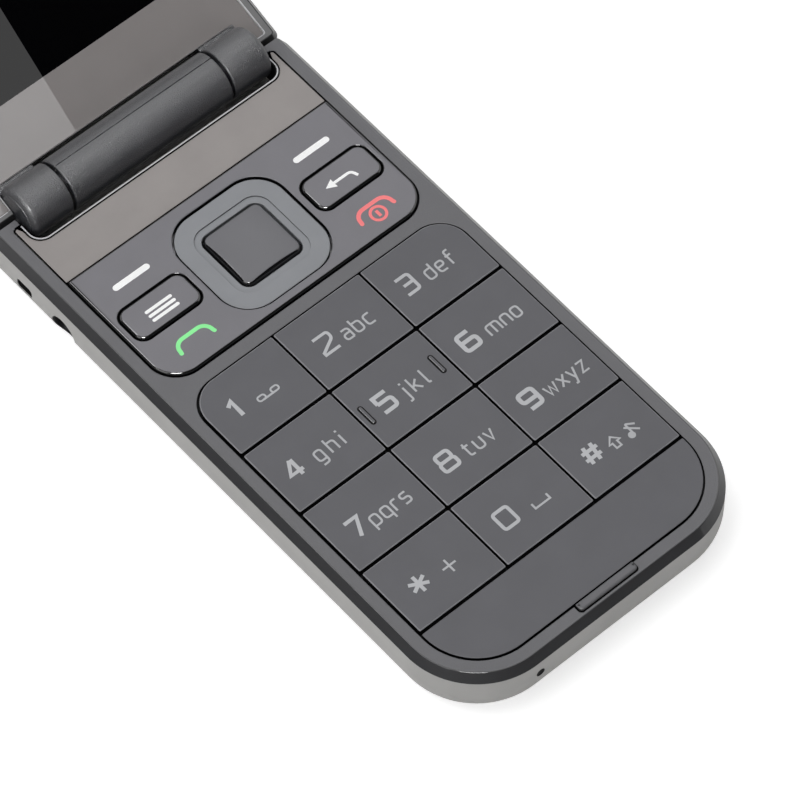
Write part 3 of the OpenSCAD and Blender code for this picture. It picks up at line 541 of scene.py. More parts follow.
class Solid:
    """Collects the faces of one piece and makes them an object."""

    def __init__(self, name: str) -> None:
        """Start an empty piece with this name."""
        self.name = name
        self.mesh = bmesh.new()

    def _ring(self, points: Iterable[Point], z: float) -> Ring:
        """Add one level ring of points."""
        return [self.mesh.verts.new((x * MM, y * MM, z * MM)) for x, y in points]

    def _cap(self, rings: Sequence[Ring], finish: int) -> None:
        """Close the space between rings that lie at one height."""
        flat = [v for ring in rings for v in ring]
        for tri in tessellate_polygon([[v.co for v in ring] for ring in rings]):
            face = self.mesh.faces.new([flat[i] for i in tri])
            face.material_index = finish

    def _bridge(self, low: Ring, high: Ring, finish: int) -> None:
        """Join two rings of the same count with four-sided faces."""
        count = len(low)
        for i in range(count):
            j = (i + 1) % count
            face = self.mesh.faces.new((low[i], low[j], high[j], high[i]))
            face.material_index = finish

    def slab(self, edges: Sequence[tuple[Loop, Path2]]) -> Solid:
        """Add a plate with its holes.

        Args:
            edges: each outline with its edge profile, the outer one first.

        Returns:
            This piece.
        """
        ends: tuple[list[Ring], list[Ring]] = ([], [])
        for loop, profile in edges:
            rings = [self._ring(loop.ring(inset), z) for inset, z in profile]
            for k, (low, high) in enumerate(zip(rings, rings[1:])):
                self._bridge(low, high, loop.bands[k] if k < len(loop.bands) else 0)
            ends[0].append(rings[0])
            ends[1].append(rings[-1])
        for rings in ends:
            self._cap(rings, 0)
        return self

    def pillow(
        self, outline: Path2, low: float, high: float, dome: float,
        edge: float, drop: float, corner: float, dark: int,
    ) -> Solid:
        """Add a cap with a domed top and a soft edge, centred on its outline.

        Args:
            outline: plan of the cap.
            low: underside.
            high: highest point of the dome.
            dome: radius of the dome.
            edge: width of the soft edge.
            drop: how far the soft edge falls.
            corner: share of the soft edge's width that its corners keep.
            dark: number of lower bands with the second finish, which on the select key is a painted dark
                reflection.

        Returns:
            This piece.
        """
        cx = sum(p[0] for p in outline) / len(outline)
        cy = sum(p[1] for p in outline) / len(outline)
        inner: Path2 = []
        for (x, y), (u, v) in zip(outline, Loop(outline).ring(edge)):
            near, far = sorted((abs(x - cx), abs(y - cy)))
            share = 1 - (1 - corner) * (near / far) ** 2
            inner.append((x + (u - x) * share, y + (v - y) * share))
        rings = [self._ring(outline, low)]
        for k in range(SOFT_STEPS + 1):
            angle = math.radians(90 * k / SOFT_STEPS)
            part = 1 - math.cos(angle)
            fall = drop * (1 - math.sin(angle))
            rings.append(self._domed(blend(outline, inner, part), cx, cy, high - fall, dome))
        for k in range(1, DOME_STEPS):
            scale = 1 - k / DOME_STEPS
            points = [(cx + (x - cx) * scale, cy + (y - cy) * scale) for x, y in inner]
            rings.append(self._domed(points, cx, cy, high, dome))
        for k, (a, b) in enumerate(zip(rings, rings[1:])):
            self._bridge(a, b, 1 if k < dark else 0)
        self._cap([rings[0]], 0)
        self._cap([rings[-1]], 0)
        return self

    def _domed(self, points: Path2, cx: float, cy: float, high: float, dome: float) -> Ring:
        """Add a ring of points on a dome."""
        return [
            self.mesh.verts.new((x * MM, y * MM, (high - ((x - cx) ** 2 + (y - cy) ** 2) / (2 * dome)) * MM))
            for x, y in points
        ]

    def inlay(self, pieces: Sequence[Path2], low: float, high: float) -> Solid:
        """Add flat marks, joined where their pieces meet.

        Args:
            pieces: outlines that may touch or overlap.
            low: underside.
            high: top.

        Returns:
            This piece.
        """
        points: list[Vector] = []
        faces: list[list[int]] = []
        for piece in pieces:
            area = sum(a[0] * b[1] - b[0] * a[1] for a, b in zip(piece, piece[1:] + piece[:1]))
            faces.append(list(range(len(points), len(points) + len(piece))))
            points += [Vector(p) for p in (piece if area > 0 else piece[::-1])]
        joined = delaunay_2d_cdt(points, [], faces, 0, JOIN, True)
        used = [face for face, source in zip(joined[2], joined[5]) if source]
        lower = self._ring([(v.x, v.y) for v in joined[0]], low)
        upper = self._ring([(v.x, v.y) for v in joined[0]], high)
        count: dict[tuple[int, int], int] = {}
        for face in used:
            self.mesh.faces.new([upper[i] for i in face])
            self.mesh.faces.new([lower[i] for i in reversed(face)])
            for a, b in zip(face, face[1:] + face[:1]):
                count[(a, b)] = count.get((a, b), 0) + 1
        for a, b in count:
            if (b, a) not in count:
                self.mesh.faces.new((lower[a], lower[b], upper[b], upper[a]))
        loose = [v for v in self.mesh.verts if not v.link_faces]
        bmesh.ops.delete(self.mesh, geom=loose, context="VERTS")
        return self

    def build(self, *finishes: Finish, at: Matrix | None = None) -> bpy.types.Object:
        """Close the mesh and make the object.

        Args:
            finishes: its finishes, by number.
            at: where the piece stands, if it wasn't made in place.

        Returns:
            The new object, in the scene.
        """
        bmesh.ops.dissolve_degenerate(self.mesh, dist=NOTHING, edges=self.mesh.edges)
        bmesh.ops.recalc_face_normals(self.mesh, faces=self.mesh.faces)
        if at is not None:
            bmesh.ops.transform(self.mesh, matrix=at, verts=self.mesh.verts)
        for face in self.mesh.faces:
            face.smooth = True
        for edge in self.mesh.edges:
            if len(edge.link_faces) == 2 and edge.calc_face_angle() > SHARP_ANGLE:
                edge.smooth = False
        data = bpy.data.meshes.new(self.name)
        self.mesh.to_mesh(data)
        self.mesh.free()
        for finish in finishes:
            data.materials.append(finish.material())
        made = bpy.data.objects.new(self.name, data)
        bpy.context.scene.collection.objects.link(made)
        return made


def attach(piece: bpy.types.Object, body: str, slot: str, *nodes: str) -> None:
    """Fix a piece to its body and report it.

    Args:
        piece: the new object.
        body: name of the body it moves with.
        slot: material slot of the record; not used.
        nodes: solids that it stands for.
    """
    if nodes:
        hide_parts(*nodes)
    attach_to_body(piece, body)
    LOG.info("%s rides on %s", piece.name, body)


def dress(nodes: dict[str, bpy.types.Object], finish: Finish, *names: str) -> None:
    """Give solids that stay in view their finish.

    Args:
        nodes: all solids by name.
        finish: the finish.
        names: which solids.
    """
    for name in names:
        data = nodes[name].data
        data.materials.clear()
        data.materials.append(finish.material())
        LOG.info("%s keeps its solid in %s", name, finish.name)


class StrokeFont:
    """Plain squarish digits and letters drawn with strokes of even width."""

    DIGITS: dict[str, list[Path2]] = {
        "0": [[(0, 0), (0.8, 0), (0.8, 1), (0, 1), (0, 0)]],
        "1": [[(0, 0.78), (0.3, 1), (0.3, 0)]],
        "2": [[(0, 1), (0.8, 1), (0.8, 0.6), (0, 0.14)], [(0, 0.2), (0, 0), (0.8, 0)]],
        "3": [[(0, 1), (0.75, 1), (0.75, 0), (0, 0)], [(0.15, 0.52), (0.75, 0.52)]],
        "4": [[(0.6, 0), (0.6, 1)], [(0.52, 1), (0, 0.26), (0.85, 0.26)]],
        "5": [[(0, 0.57), (0.78, 0.57), (0.78, 0), (0, 0)], [(0.75, 1), (0.02, 1), (0.02, 0.57)]],
        "6": [[(0.72, 1), (0, 1), (0, 0), (0.85, 0), (0.85, 0.54), (0, 0.54)]],
        "7": [[(0, 1), (0.8, 1), (0.28, 0)]],
        "8": [
            [(0, 0), (0.85, 0), (0.85, 0.52), (0, 0.52), (0, 0)],
            [(0.05, 0.52), (0.8, 0.52), (0.8, 1), (0.05, 1), (0.05, 0.52)],
        ],
        "9": [[(0.1, 0), (0.85, 0), (0.85, 1), (0, 1), (0, 0.46), (0.85, 0.46)]],
        "*": [[(0.5, 0), (0.5, 1)], [(0, 0.25), (1, 0.75)], [(0, 0.75), (1, 0.25)]],
        "#": [[(0.2, 0), (0.36, 1)], [(0.64, 0), (0.8, 1)], [(0, 0.3), (0.94, 0.3)], [(0.06, 0.7), (1, 0.7)]],
    }
    LETTERS: dict[str, list[Path2]] = {
        "a": [[(0.05, 1), (0.7, 1), (0.7, 0)], [(0.7, 0.57), (0, 0.57), (0, 0), (0.7, 0)]],
        "b": [[(0, 1.45), (0, 0), (0.72, 0), (0.72, 1), (0, 1)]],
        "c": [[(0.66, 1), (0, 1), (0, 0), (0.66, 0)]],
        "d": [[(0.72, 1.45), (0.72, 0), (0, 0), (0, 1), (0.72, 1)]],
        "e": [[(0, 0.5), (0.7, 0.5), (0.7, 1), (0, 1), (0, 0), (0.66, 0)]],
        "f": [[(0.18, 0), (0.18, 1.45), (0.6, 1.45)], [(0, 0.95), (0.56, 0.95)]],
        "g": [[(0.7, 0), (0, 0), (0, 1), (0.7, 1), (0.7, -0.42), (0.06, -0.42)]],
        "h": [[(0, 1.45), (0, 0)], [(0, 1), (0.7, 1), (0.7, 0)]],
        "i": [[(0, 1), (0, 0)], [(0, 1.32), (0, 1.5)]],
        "j": [[(0.3, 1), (0.3, -0.42), (0, -0.42)], [(0.3, 1.32), (0.3, 1.5)]],
        "k": [[(0, 1.45), (0, 0)], [(0.66, 1), (0.05, 0.45)], [(0.22, 0.58), (0.72, 0)]],
        "l": [[(0, 1.45), (0, 0), (0.22, 0)]],
        "m": [[(0, 0), (0, 1), (1.15, 1), (1.15, 0)], [(0.58, 1), (0.58, 0)]],
        "n": [[(0, 0), (0, 1), (0.7, 1), (0.7, 0)]],
        "o": [[(0, 0), (0.7, 0), (0.7, 1), (0, 1), (0, 0)]],
        "p": [[(0, -0.42), (0, 1), (0.72, 1), (0.72, 0), (0, 0)]],
        "q": [[(0.72, -0.42), (0.72, 1), (0, 1), (0, 0), (0.72, 0)]],
        "r": [[(0, 0), (0, 1), (0.5, 1)]],
        "s": [[(0.64, 1), (0, 1), (0, 0.52), (0.66, 0.52), (0.66, 0), (0, 0)]],
        "t": [[(0.18, 1.3), (0.18, 0), (0.58, 0)], [(0, 0.98), (0.55, 0.98)]],
        "u": [[(0, 1), (0, 0), (0.7, 0), (0.7, 1)]],
        "v": [[(0, 1), (0.35, 0), (0.7, 1)]],
        "w": [[(0, 1), (0.26, 0), (0.52, 0.85), (0.78, 0), (1.04, 1)]],
        "x": [[(0, 1), (0.7, 0)], [(0, 0), (0.7, 1)]],
        "y": [[(0, 1), (0.37, 0.02)], [(0.72, 1), (0.2, -0.42), (0, -0.42)]],
        "z": [[(0, 1), (0.65, 1), (0, 0), (0.65, 0)]],
    }
    ROUND_CORNERS = set("abcdefghjlmnopqrstu0235689")
    SHARP_TAILS = set("25")
    ROUND_SHARE = 0.7
    ROUND_EXTRA = 0.12
    ROUND_LEAST = 0.5

    @classmethod
    def glyph(cls, sign: str, table: dict[str, list[Path2]], box: Quad, weight: float) -> list[Path2]:
        """Draw one sign into a box.

        Args:
            sign: the sign.
            table: where its strokes are.
            box: left, baseline, right and top of a sign of plain height.
            weight: width of the strokes.

        Returns:
            Outlines of the strokes.
        """
        left, foot, right, top = box
        paths = table[sign]
        xs = [p[0] for path in paths for p in path]
        span = max(xs) - min(xs)
        sx = (right - left - weight) / span if span > 0 else 0.0
        sy = top - foot - weight
        out: list[Path2] = []
        for path in paths:
            line = [(left + weight / 2 + (x - min(xs)) * sx, foot + weight / 2 + y * sy) for x, y in path]
            closed = path[0] == path[-1]
            line = line[:-1] if closed else line
            if sign in cls.ROUND_CORNERS and (path is paths[0] or sign not in cls.SHARP_TAILS):
                reach = cls.ROUND_SHARE * weight + cls.ROUND_EXTRA
                line = soften(line, max(reach, cls.ROUND_LEAST), closed)
            out += stroke(line, weight, closed)
        return out

    @classmethod
    def word(
        cls, text: str, left: float, right: float, foot: float, height: float, weight: float
    ) -> list[Path2]:
        """Draw small letters evenly between two ends.

        Args:
            text: the letters.
            left: where the first one starts.
            right: where the last one ends.
            foot: baseline.
            height: height of a letter without stem.
            weight: width of the strokes.

        Returns:
            Outlines of the strokes.
        """
        widths = []
        for sign in text:
            xs = [p[0] for path in cls.LETTERS[sign] for p in path]
            widths.append((max(xs) - min(xs)) * (height - weight) + weight)
        gap = (right - left - sum(widths)) / (len(text) - 1)
        out: list[Path2] = []
        x = left
        for sign, width in zip(text, widths):
            out += cls.glyph(sign, cls.LETTERS, (x, foot, x + width, foot + height), weight)
            x += width + gap
        return out


@dataclass
class KeypadHalf:
    """Housing of the keypad half with its trim; sizes in millimetres."""

    half: float = 27.05
    front: float = -50.96
    back: float = 51.1
    face: float = 10.4
    split: float = 9.0
    corner: float = 12.5
    hinge_corner: float = 1.2
    inner_corner: float = 0.4
    edge: float = 0.1
    slope: float = 1.0
    flat: float = 0.16
    slope_edge: float = 0.16
    end_slope: float = 0.12
    window_half: float = 24.15
    keys_front: float = -48.06
    keys_back: float = 12.31
    keys_front_r: float = 9.6
    keys_back_r: float = 5.0
    strip_gap: float = 0.25
    strip_corner: float = 0.2
    strip_edge: float = 0.12
    rest_half: float = 5.4
    rest_front: float = -49.51
    rest_r: float = 0.6
    rest_steps: int = 6
    rest_gap: float = 0.06
    rest_corner: float = 0.2
    rest_edge: float = 0.42
    plate_front: float = 14.51
    plate_r: float = 4.95
    rear_corner: float = 0.5
    trim_front: float = 37.91
    trim_half: float = 23.9
    trim_low: float = 9.9
    trim_tip: float = 49.55
    trim_corner: float = 0.15
    trim_gap: float = 0.2
    recess_half: float = 22.55
    recess_front: float = 45.76
    recess_r: float = 2.0
    recess_floor: float = 5.6
    lip: float = 0.28
    lip_highlight: float = 0.2
    shade_lining: float = 0.1
    shade_lining_gap: float = 0.02
    shade_lining_drop: float = 0.15
    pad_x: Triple = (21.4, 22.0, 26.0)
    pad_y: Triple = (50.5, 51.95, 53.0)
    pad_z: Point = (5.7, 7.9)
    pad_corner: float = 0.2
    pad_steps: int = 3
    pad_edge: float = 0.15
    under_r: float = 5.1
    port_insets: Point = (0.02, 0.1)
    port_start: float = 0.12
    jack: Triple = (35.36, 4.2, 2.5)
    jack_depth: float = 1.6
    strap: Quad = (43.86, 5.3, 1.65, 1.0)
    strap_corners: Point = (0.65, 0.57)
    strap_depth: float = 3.0
    microphone: Triple = (-13.925, 6.2, 0.6)
    shade_disc_depths: Point = (0.06, 0.8)
    rim_depths: Point = (-0.02, 0.1)
    rim: float = 0.12

    def build(self) -> None:
        """Make and attach the pieces."""
        self.front_housing()
        self.trim()
        self.strip()
        self.rest()
        self.stop_pads()
        self.recess()
        self.ports()

    def cut(self, grow: float) -> tuple[Point, float]:
        """Half width and end of the hinge recess with its corner radius, grown all round."""
        return (self.recess_half + grow, self.recess_front - grow), self.recess_r + grow

    def key_opening(self) -> Path2:
        """Outline of the opening for the number keys, with the notch for the rest bar."""
        r = self.keys_front_r
        left = arc(-self.window_half + r, self.keys_front + r, r, 180, 270)
        right = arc(self.window_half - r, self.keys_front + r, r, 270, 360)
        half, low, r = self.rest_half, self.rest_front, self.rest_r
        notch = [(-half, self.keys_front)] + arc(-half + r, low + r, r, 180, 270, self.rest_steps)
        notch += arc(half - r, low + r, r, 270, 360, self.rest_steps) + [(half, self.keys_front)]
        r = self.keys_back_r
        back = arc(self.window_half - r, self.keys_back - r, r, 0, 90)
        back += arc(-self.window_half + r, self.keys_back - r, r, 90, 180)
        return left + notch + right + back

    def front_housing(self) -> None:
        """Make the face with its sloped rim and its two openings."""
        run, end = self.slope, self.end_slope
        outline = notched(self.half, self.front, self.back, self.corner, self.hinge_corner, *self.cut(0.0))
        inner = notched(
            self.half - run, self.front + run, self.back - end, self.corner - run, self.inner_corner,
            *self.cut(end),
        )
        rear = notched(
            self.window_half, self.plate_front, self.trim_tip + self.trim_gap, self.plate_r, self.rear_corner,
            *self.cut(self.lip),
        )
        slope = sloped(self.split, self.face, run, self.flat, self.slope_edge)
        edge = rounded(self.split, self.face, self.edge)
        # The sides of the two openings are painted shade.
        piece = Solid("front_housing").slab([
            (Loop(outline, inner=inner, reach=run, bands=SLOPED), slope),
            (Loop(self.key_opening(), hole=True, bands=SHADED_WALL_BANDS), edge),
            (Loop(rear, hole=True, bands=SHADED_WALL_BANDS), edge),
        ])
        attach(piece.build(FRONT, SLOPE, GLOSSY_SHADE), Body.BASE.value, "front_housing", "base_front_housing")

    def trim(self) -> None:
        """Make the plain plate round the hinge recess."""
        outline = notched(
            self.trim_half, self.trim_front, self.trim_tip, self.trim_corner, self.inner_corner,
            *self.cut(self.lip + self.trim_gap),
        )
        edge = rounded(self.trim_low, self.face, self.edge)
        # The trim's side is painted shade.
        piece = Solid("trim_sheet").slab([(Loop(outline, bands=SHADED_SIDE_BANDS), edge)])
        attach(piece.build(TRIM, GLOSSY_SHADE), Body.BASE.value, "trim", "trim_plate")

    def strip(self) -> None:
        """Make the plain strip in front of the number keys."""
        low, high = (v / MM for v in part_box("keypad_blank"))
        outline = plate(high.x, low.y, high.y, self.keys_front_r - self.strip_gap, self.strip_corner)
        edge = rounded(low.z, high.z, self.strip_edge)
        # The strip's side is painted shade.
        piece = Solid("keypad_strip").slab([(Loop(outline, bands=SHADED_SIDE_BANDS), edge)])
        attach(piece.build(KEY, GLOSSY_SHADE), Body.BASE.value, "keys", "keypad_blank")

    def rest(self) -> None:
        """Make the bar on which the shut display half rests."""
        low, high = (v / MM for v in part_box("lid_rest"))
        outline = plate(high.x - self.rest_gap, low.y + self.rest_gap, high.y, self.rest_r, self.rest_corner)
        edge = rounded(low.z, high.z, self.rest_edge)
        # The rest bar's side is painted shade.
        piece = Solid("rest_bar").slab([(Loop(outline, bands=SHADED_SIDE_BANDS), edge)])
        attach(piece.build(FRONT, GLOSSY_SHADE), Body.BASE.value, "front_housing", "lid_rest")

    def stop_pads(self) -> None:
        """Make the two pads behind the hinge shoulders that the opened display half rests on."""
        (x0, x1, x2), (y0, y1, y2), (z0, z1) = self.pad_x, self.pad_y, self.pad_z
        plan = [(x0, y0), (x2, y0), (x2, y1), (x1, y1), (x1, y2), (x0, y2)]
        for side, name in ((Side.LEFT, "stop_pad_left"), (Side.RIGHT, "stop_pad_right")):
            turned = [(side.value * x, y) for x, y in plan]
            corners = turned if side is Side.RIGHT else turned[::-1]
            outline = soften(corners, self.pad_corner, closed=True, steps=self.pad_steps)
            piece = Solid(name).slab([(Loop(outline), rounded(z0, z1, self.pad_edge))])
            attach(piece.build(RUBBER), Body.BASE.value, "rubber")

    def recess_path(self, inset: float, back: float) -> Path2:
        """Plan of the recess wall.

        Args:
            inset: how far it is moved into the recess.
            back: where its two ends lie.

        Returns:
            The open path from left to right.
        """
        w, y, r = self.recess_half - inset, self.recess_front + inset, self.recess_r - inset
        path = [(-w, back)] + arc(-w + r, y + r, r, 180, 270)
        return path + arc(w - r, y + r, r, 270, 360) + [(w, back)]

    def recess(self) -> None:
        """Make the painted highlight line round the hinge recess and the recess's black lining, which is
        painted shade.
        """
        line = stroke(self.recess_path(-self.lip / 2, self.trim_tip), self.lip_highlight)
        bright = Solid("recess_highlight_line").inlay(line, self.face - SINK, self.face + LINE_RISE)
        attach(bright.build(HIGHLIGHT_LINE), Body.BASE.value, "front_housing")
        back = self.back - self.hinge_corner
        wall = self.recess_path(self.shade_lining_gap, back)
        wall += self.recess_path(self.shade_lining_gap + self.shade_lining, back)[::-1]
        ends = [(0.0, self.recess_floor), (0.0, self.face - self.shade_lining_drop)]
        piece = Solid("recess_shade_lining").slab([(Loop(wall), ends)])
        attach(piece.build(MATT_SHADE), Body.BASE.value, "black_plastic")

    def ports(self) -> None:
        """Line the headset opening with metal, and put painted shade into the strap slot and the microphone
        hole.
        """
        y, z, r = self.jack
        outer, inner = (circle(y, z, r - inset, FINE) for inset in self.port_insets)
        self.lined("headset_lining", outer, inner, self.jack_depth, PORT)
        y, z, half, tall = self.strap
        outer, inner = (
            [(y + a, z + b) for a, b in plate(half - inset, inset - tall, tall - inset, corner, corner)]
            for inset, corner in zip(self.port_insets, self.strap_corners)
        )
        self.lined("strap_shade_lining", outer, inner, self.strap_depth, MATT_SHADE)
        x, z, r = self.microphone
        hole, rim = circle(x, -z, r - self.port_insets[0]), circle(x, -z, r + self.rim)
        disc = Solid("microphone_shade_disc").slab([(Loop(hole), [(0.0, depth) for depth in self.shade_disc_depths])])
        ends = [(0.0, depth) for depth in self.rim_depths]
        disc.slab([(Loop(rim), ends), (Loop(hole, hole=True), ends)])
        place = Matrix.Translation((0, self.front * MM, 0)) @ Matrix.Rotation(math.radians(-90), 4, "X")
        attach(disc.build(MATT_SHADE, at=place), Body.BASE.value, "black_plastic")

    def lined(self, name: str, outer: Path2, inner: Path2, depth: float, finish: Finish) -> None:
        """Make the lining of one opening in the left wall, fitted to the wall's curve.

        Args:
            name: name of the piece.
            outer: its outline along the wall, as lengths and heights.
            inner: the same on its inside.
            depth: how far it reaches in.
            finish: its finish.
        """
        ends = [(0.0, self.port_start), (0.0, depth)]
        piece = Solid(name).slab([(Loop(outer), ends), (Loop(inner, hole=True), ends)])
        for vert in piece.mesh.verts:
            drop = max(0.0, self.under_r - vert.co.y / MM)
            if vert.co.z < 0.5 * depth * MM:
                vert.co.z += (self.under_r - math.sqrt(self.under_r**2 - drop**2)) * MM
        place = Matrix.Translation((-self.half * MM, 0, 0)) @ Hinge.along()
        attach(piece.build(finish, at=place), Body.BASE.value, "black_plastic")


@dataclass(frozen=True)
class SignLine:
    """One line of a small sign: its points above the baseline, or the middle of a dot."""

    path: Path2
    width: float = LETTER_WEIGHT
    closed: bool = False
    bend: float = 0.0

    def drawn(self, foot: float) -> list[Path2]:
        """Draw the line on a baseline.

        Args:
            foot: height of the baseline.

        Returns:
            Outlines of the strokes or of the dot.
        """
        points = [(x, foot + y) for x, y in self.path]
        if len(points) == 1:
            return [circle(*points[0], self.width / 2)]
        if self.bend > 0:
            points = soften(points, self.bend)
        return stroke(points, self.width, self.closed)


SMALL_SIGNS: dict[str, tuple[SignLine, ...]] = {
    "1": (
        SignLine(plate(0.62, 0.4, 1.2, 0.36, 0.36, -15.7), 0.27, closed=True),
        SignLine(plate(0.62, 0.4, 1.2, 0.36, 0.36, -13.34), 0.27, closed=True),
        SignLine([(-15.7, 0.4), (-13.34, 0.4)]),
    ),
    "*": (
        SignLine([(-15.08, 1.15), (-12.78, 1.15)]),
        SignLine([(-13.93, 0.0), (-13.93, 2.3)]),
    ),
    "0": (SignLine([(1.0, 1.1), (1.0, 0.18), (3.64, 0.18), (3.64, 1.1)]),),
    "#": (
        SignLine(
            [
                (16.37, 2.1), (15.4, 1.05), (15.95, 1.05), (15.95, 0.1),
                (16.79, 0.1), (16.79, 1.05), (17.34, 1.05),
            ],
            0.28,
            closed=True,
        ),
        SignLine([(19.3, 0.3), (19.3, 2.3), (20.5, 1.5)], bend=0.3),
        SignLine([(18.95, 0.35)], 1.12),
        SignLine([(18.8, 1.95), (20.5, 0.4)], 0.3),
    ),
}


@dataclass(frozen=True)
class KeyFace:
    """What one number key shows: its digit, its letters and where they stand; millimetres."""

    node: str
    digit: str
    digit_x: Point
    weight: float
    letters: str = ""
    letters_x: Point = (0.0, 0.0)
    height: float = 3.5
    marked: bool = False


@dataclass
class NumberKeys:
    """The twelve number keys with their legends; sizes in millimetres."""

    edge: float = 0.16
    corner: float = 0.25
    outer_corner: float = 4.75
    row_gap: float = 0.26
    side_gap: float = 0.08
    thickness: float = 1.24
    pusher: float = 1.2
    letter_height: float = 2.05
    mark_half: float = 0.31
    mark_length: float = 3.4
    mark_corner: float = 0.3
    mark_edge: float = 0.2
    mark_shift: Point = (-0.18, -0.15)
    mark_in: float = 1.4
    mark_rise: float = 0.2
    mark_shade_rim: float = 0.15
    rim_rise: float = 0.01
    baselines: tuple[float, ...] = (4.4, -8.25, -21.1, -33.3)
    faces: tuple[tuple[KeyFace, ...], ...] = (
        (
            KeyFace("key_1", "1", (-20.58, -19.03), 0.66),
            KeyFace("key_2", "2", (-4.58, -1.58), 0.46, "abc", (-0.58, 4.82)),
            KeyFace("key_3", "3", (10.62, 13.32), 0.5, "def", (14.82, 20.12)),
        ),
        (
            KeyFace("key_4", "4", (-21.18, -18.38), 0.58, "ghi", (-16.48, -11.48)),
            KeyFace("key_5", "5", (-4.73, -1.73), 0.62, "jkl", (-0.58, 4.12), marked=True),
            KeyFace("key_6", "6", (10.62, 13.77), 0.65, "mno", (15.12, 21.17)),
        ),
        (
            KeyFace("key_7", "7", (-20.83, -18.08), 0.58, "pqrs", (-17.48, -10.58)),
            KeyFace("key_8", "8", (-4.68, -1.58), 0.56, "tuv", (-0.38, 4.92)),
            KeyFace("key_9", "9", (10.67, 13.82), 0.66, "wxyz", (14.52, 22.02)),
        ),
        (
            KeyFace("key_star", "*", (-20.55, -17.35), 0.55, height=3.35),
            KeyFace("key_0", "0", (-4.63, -1.58), 0.52),
            KeyFace("key_hash", "#", (10.98, 14.45), 0.58),
        ),
    )

    def build(self) -> None:
        """Make and attach every key and its legend."""
        for row, faces in enumerate(self.faces):
            for column, face in enumerate(faces):
                self.cap(face, row, column)
                self.legend(face, self.baselines[row])

    def cap(self, face: KeyFace, row: int, column: int) -> None:
        """Make one key.

        Args:
            face: what it shows.
            row: 0 next to the function keys.
            column: 0 on the left.
        """
        low, high = (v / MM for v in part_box(face.node))
        if face.marked:
            high.z -= self.mark_rise
        low.y += self.row_gap
        low.x += self.side_gap * (2 if column == 0 else 1)
        r = self.corner
        left = self.outer_corner if (row, column) == (0, 0) else r
        right = self.outer_corner if (row, column) == (0, 2) else r
        outline = arc(low.x + r, low.y + r, r, 180, 270) + arc(high.x - r, low.y + r, r, 270, 360)
        outline += arc(high.x - right, high.y - right, right, 0, 90)
        outline += arc(low.x + left, high.y - left, left, 90, 180)
        base = high.z - self.thickness
        edge = rounded(base, high.z, self.edge)
        # The key's side is painted shade and its rounded top edge a painted highlight.
        piece = Solid(face.node + "_cap").slab([(Loop(outline, bands=KEY_SHADE_HIGHLIGHT_BANDS), edge)])
        foot = circle((low.x + high.x) / 2, (low.y + high.y) / 2, self.pusher)
        piece.slab([(Loop(foot), [(0.0, low.z), (0.0, base)])])
        if face.marked:
            self.raised_marks(piece, face.node, low, high)
        attach(piece.build(KEY, GLOSSY_SHADE, KEY_EDGE_HIGHLIGHT), face.node, "keys", face.node)

    def raised_marks(self, piece: Solid, node: str, low: Vector, high: Vector) -> None:
        """Add two raised marks to a key, their sides painted shade, and lay rims of painted shade round them.

        Args:
            piece: the key.
            node: its solid and body.
            low: lowest corner of its cap.
            high: highest corner of its cap.
        """
        x, y = (low.x + high.x) / 2 + self.mark_shift[0], (low.y + high.y) / 2 + self.mark_shift[1]
        out, reach, r = (high.x - low.x) / 2 - self.mark_in, self.mark_length / 2, self.mark_corner
        marks = [plate(self.mark_half, y - reach, y + reach, r, r, x + side.value * out) for side in Side]
        edge = rounded(high.z - SINK, high.z + self.mark_rise, self.mark_edge)
        for mark in marks:
            piece.slab([(Loop(mark, bands=SHADED_EDGE_BANDS), edge)])
        around = [Loop(mark).ring(-self.mark_shade_rim) for mark in marks]
        rims = Solid(node + "_mark_shade_rims").inlay(around, high.z - SINK, high.z + self.rim_rise)
        attach(rims.build(MATT_SHADE), node, "keys")

    def legend(self, face: KeyFace, foot: float) -> None:
        """Make the printed signs of one key.

        Args:
            face: what it shows.
            foot: baseline of its row.
        """
        left, right = face.digit_x
        box = (left, foot, right, foot + face.height)
        digit = StrokeFont.glyph(face.digit, StrokeFont.DIGITS, box, face.weight)
        if face.letters:
            small = StrokeFont.word(face.letters, *face.letters_x, foot, self.letter_height, LETTER_WEIGHT)
        else:
            small = [piece for line in SMALL_SIGNS[face.digit] for piece in line.drawn(foot)]
        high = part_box(face.node)[1].z / MM - (self.mark_rise if face.marked else 0.0)
        for name, pieces, finish in (("_legend", digit, LEGEND), ("_letters", small, LETTER)):
            piece = Solid(face.node + name).inlay(pieces, high - SINK, high + PRINT_RISE)
            attach(piece.build(finish), face.node, "keys")


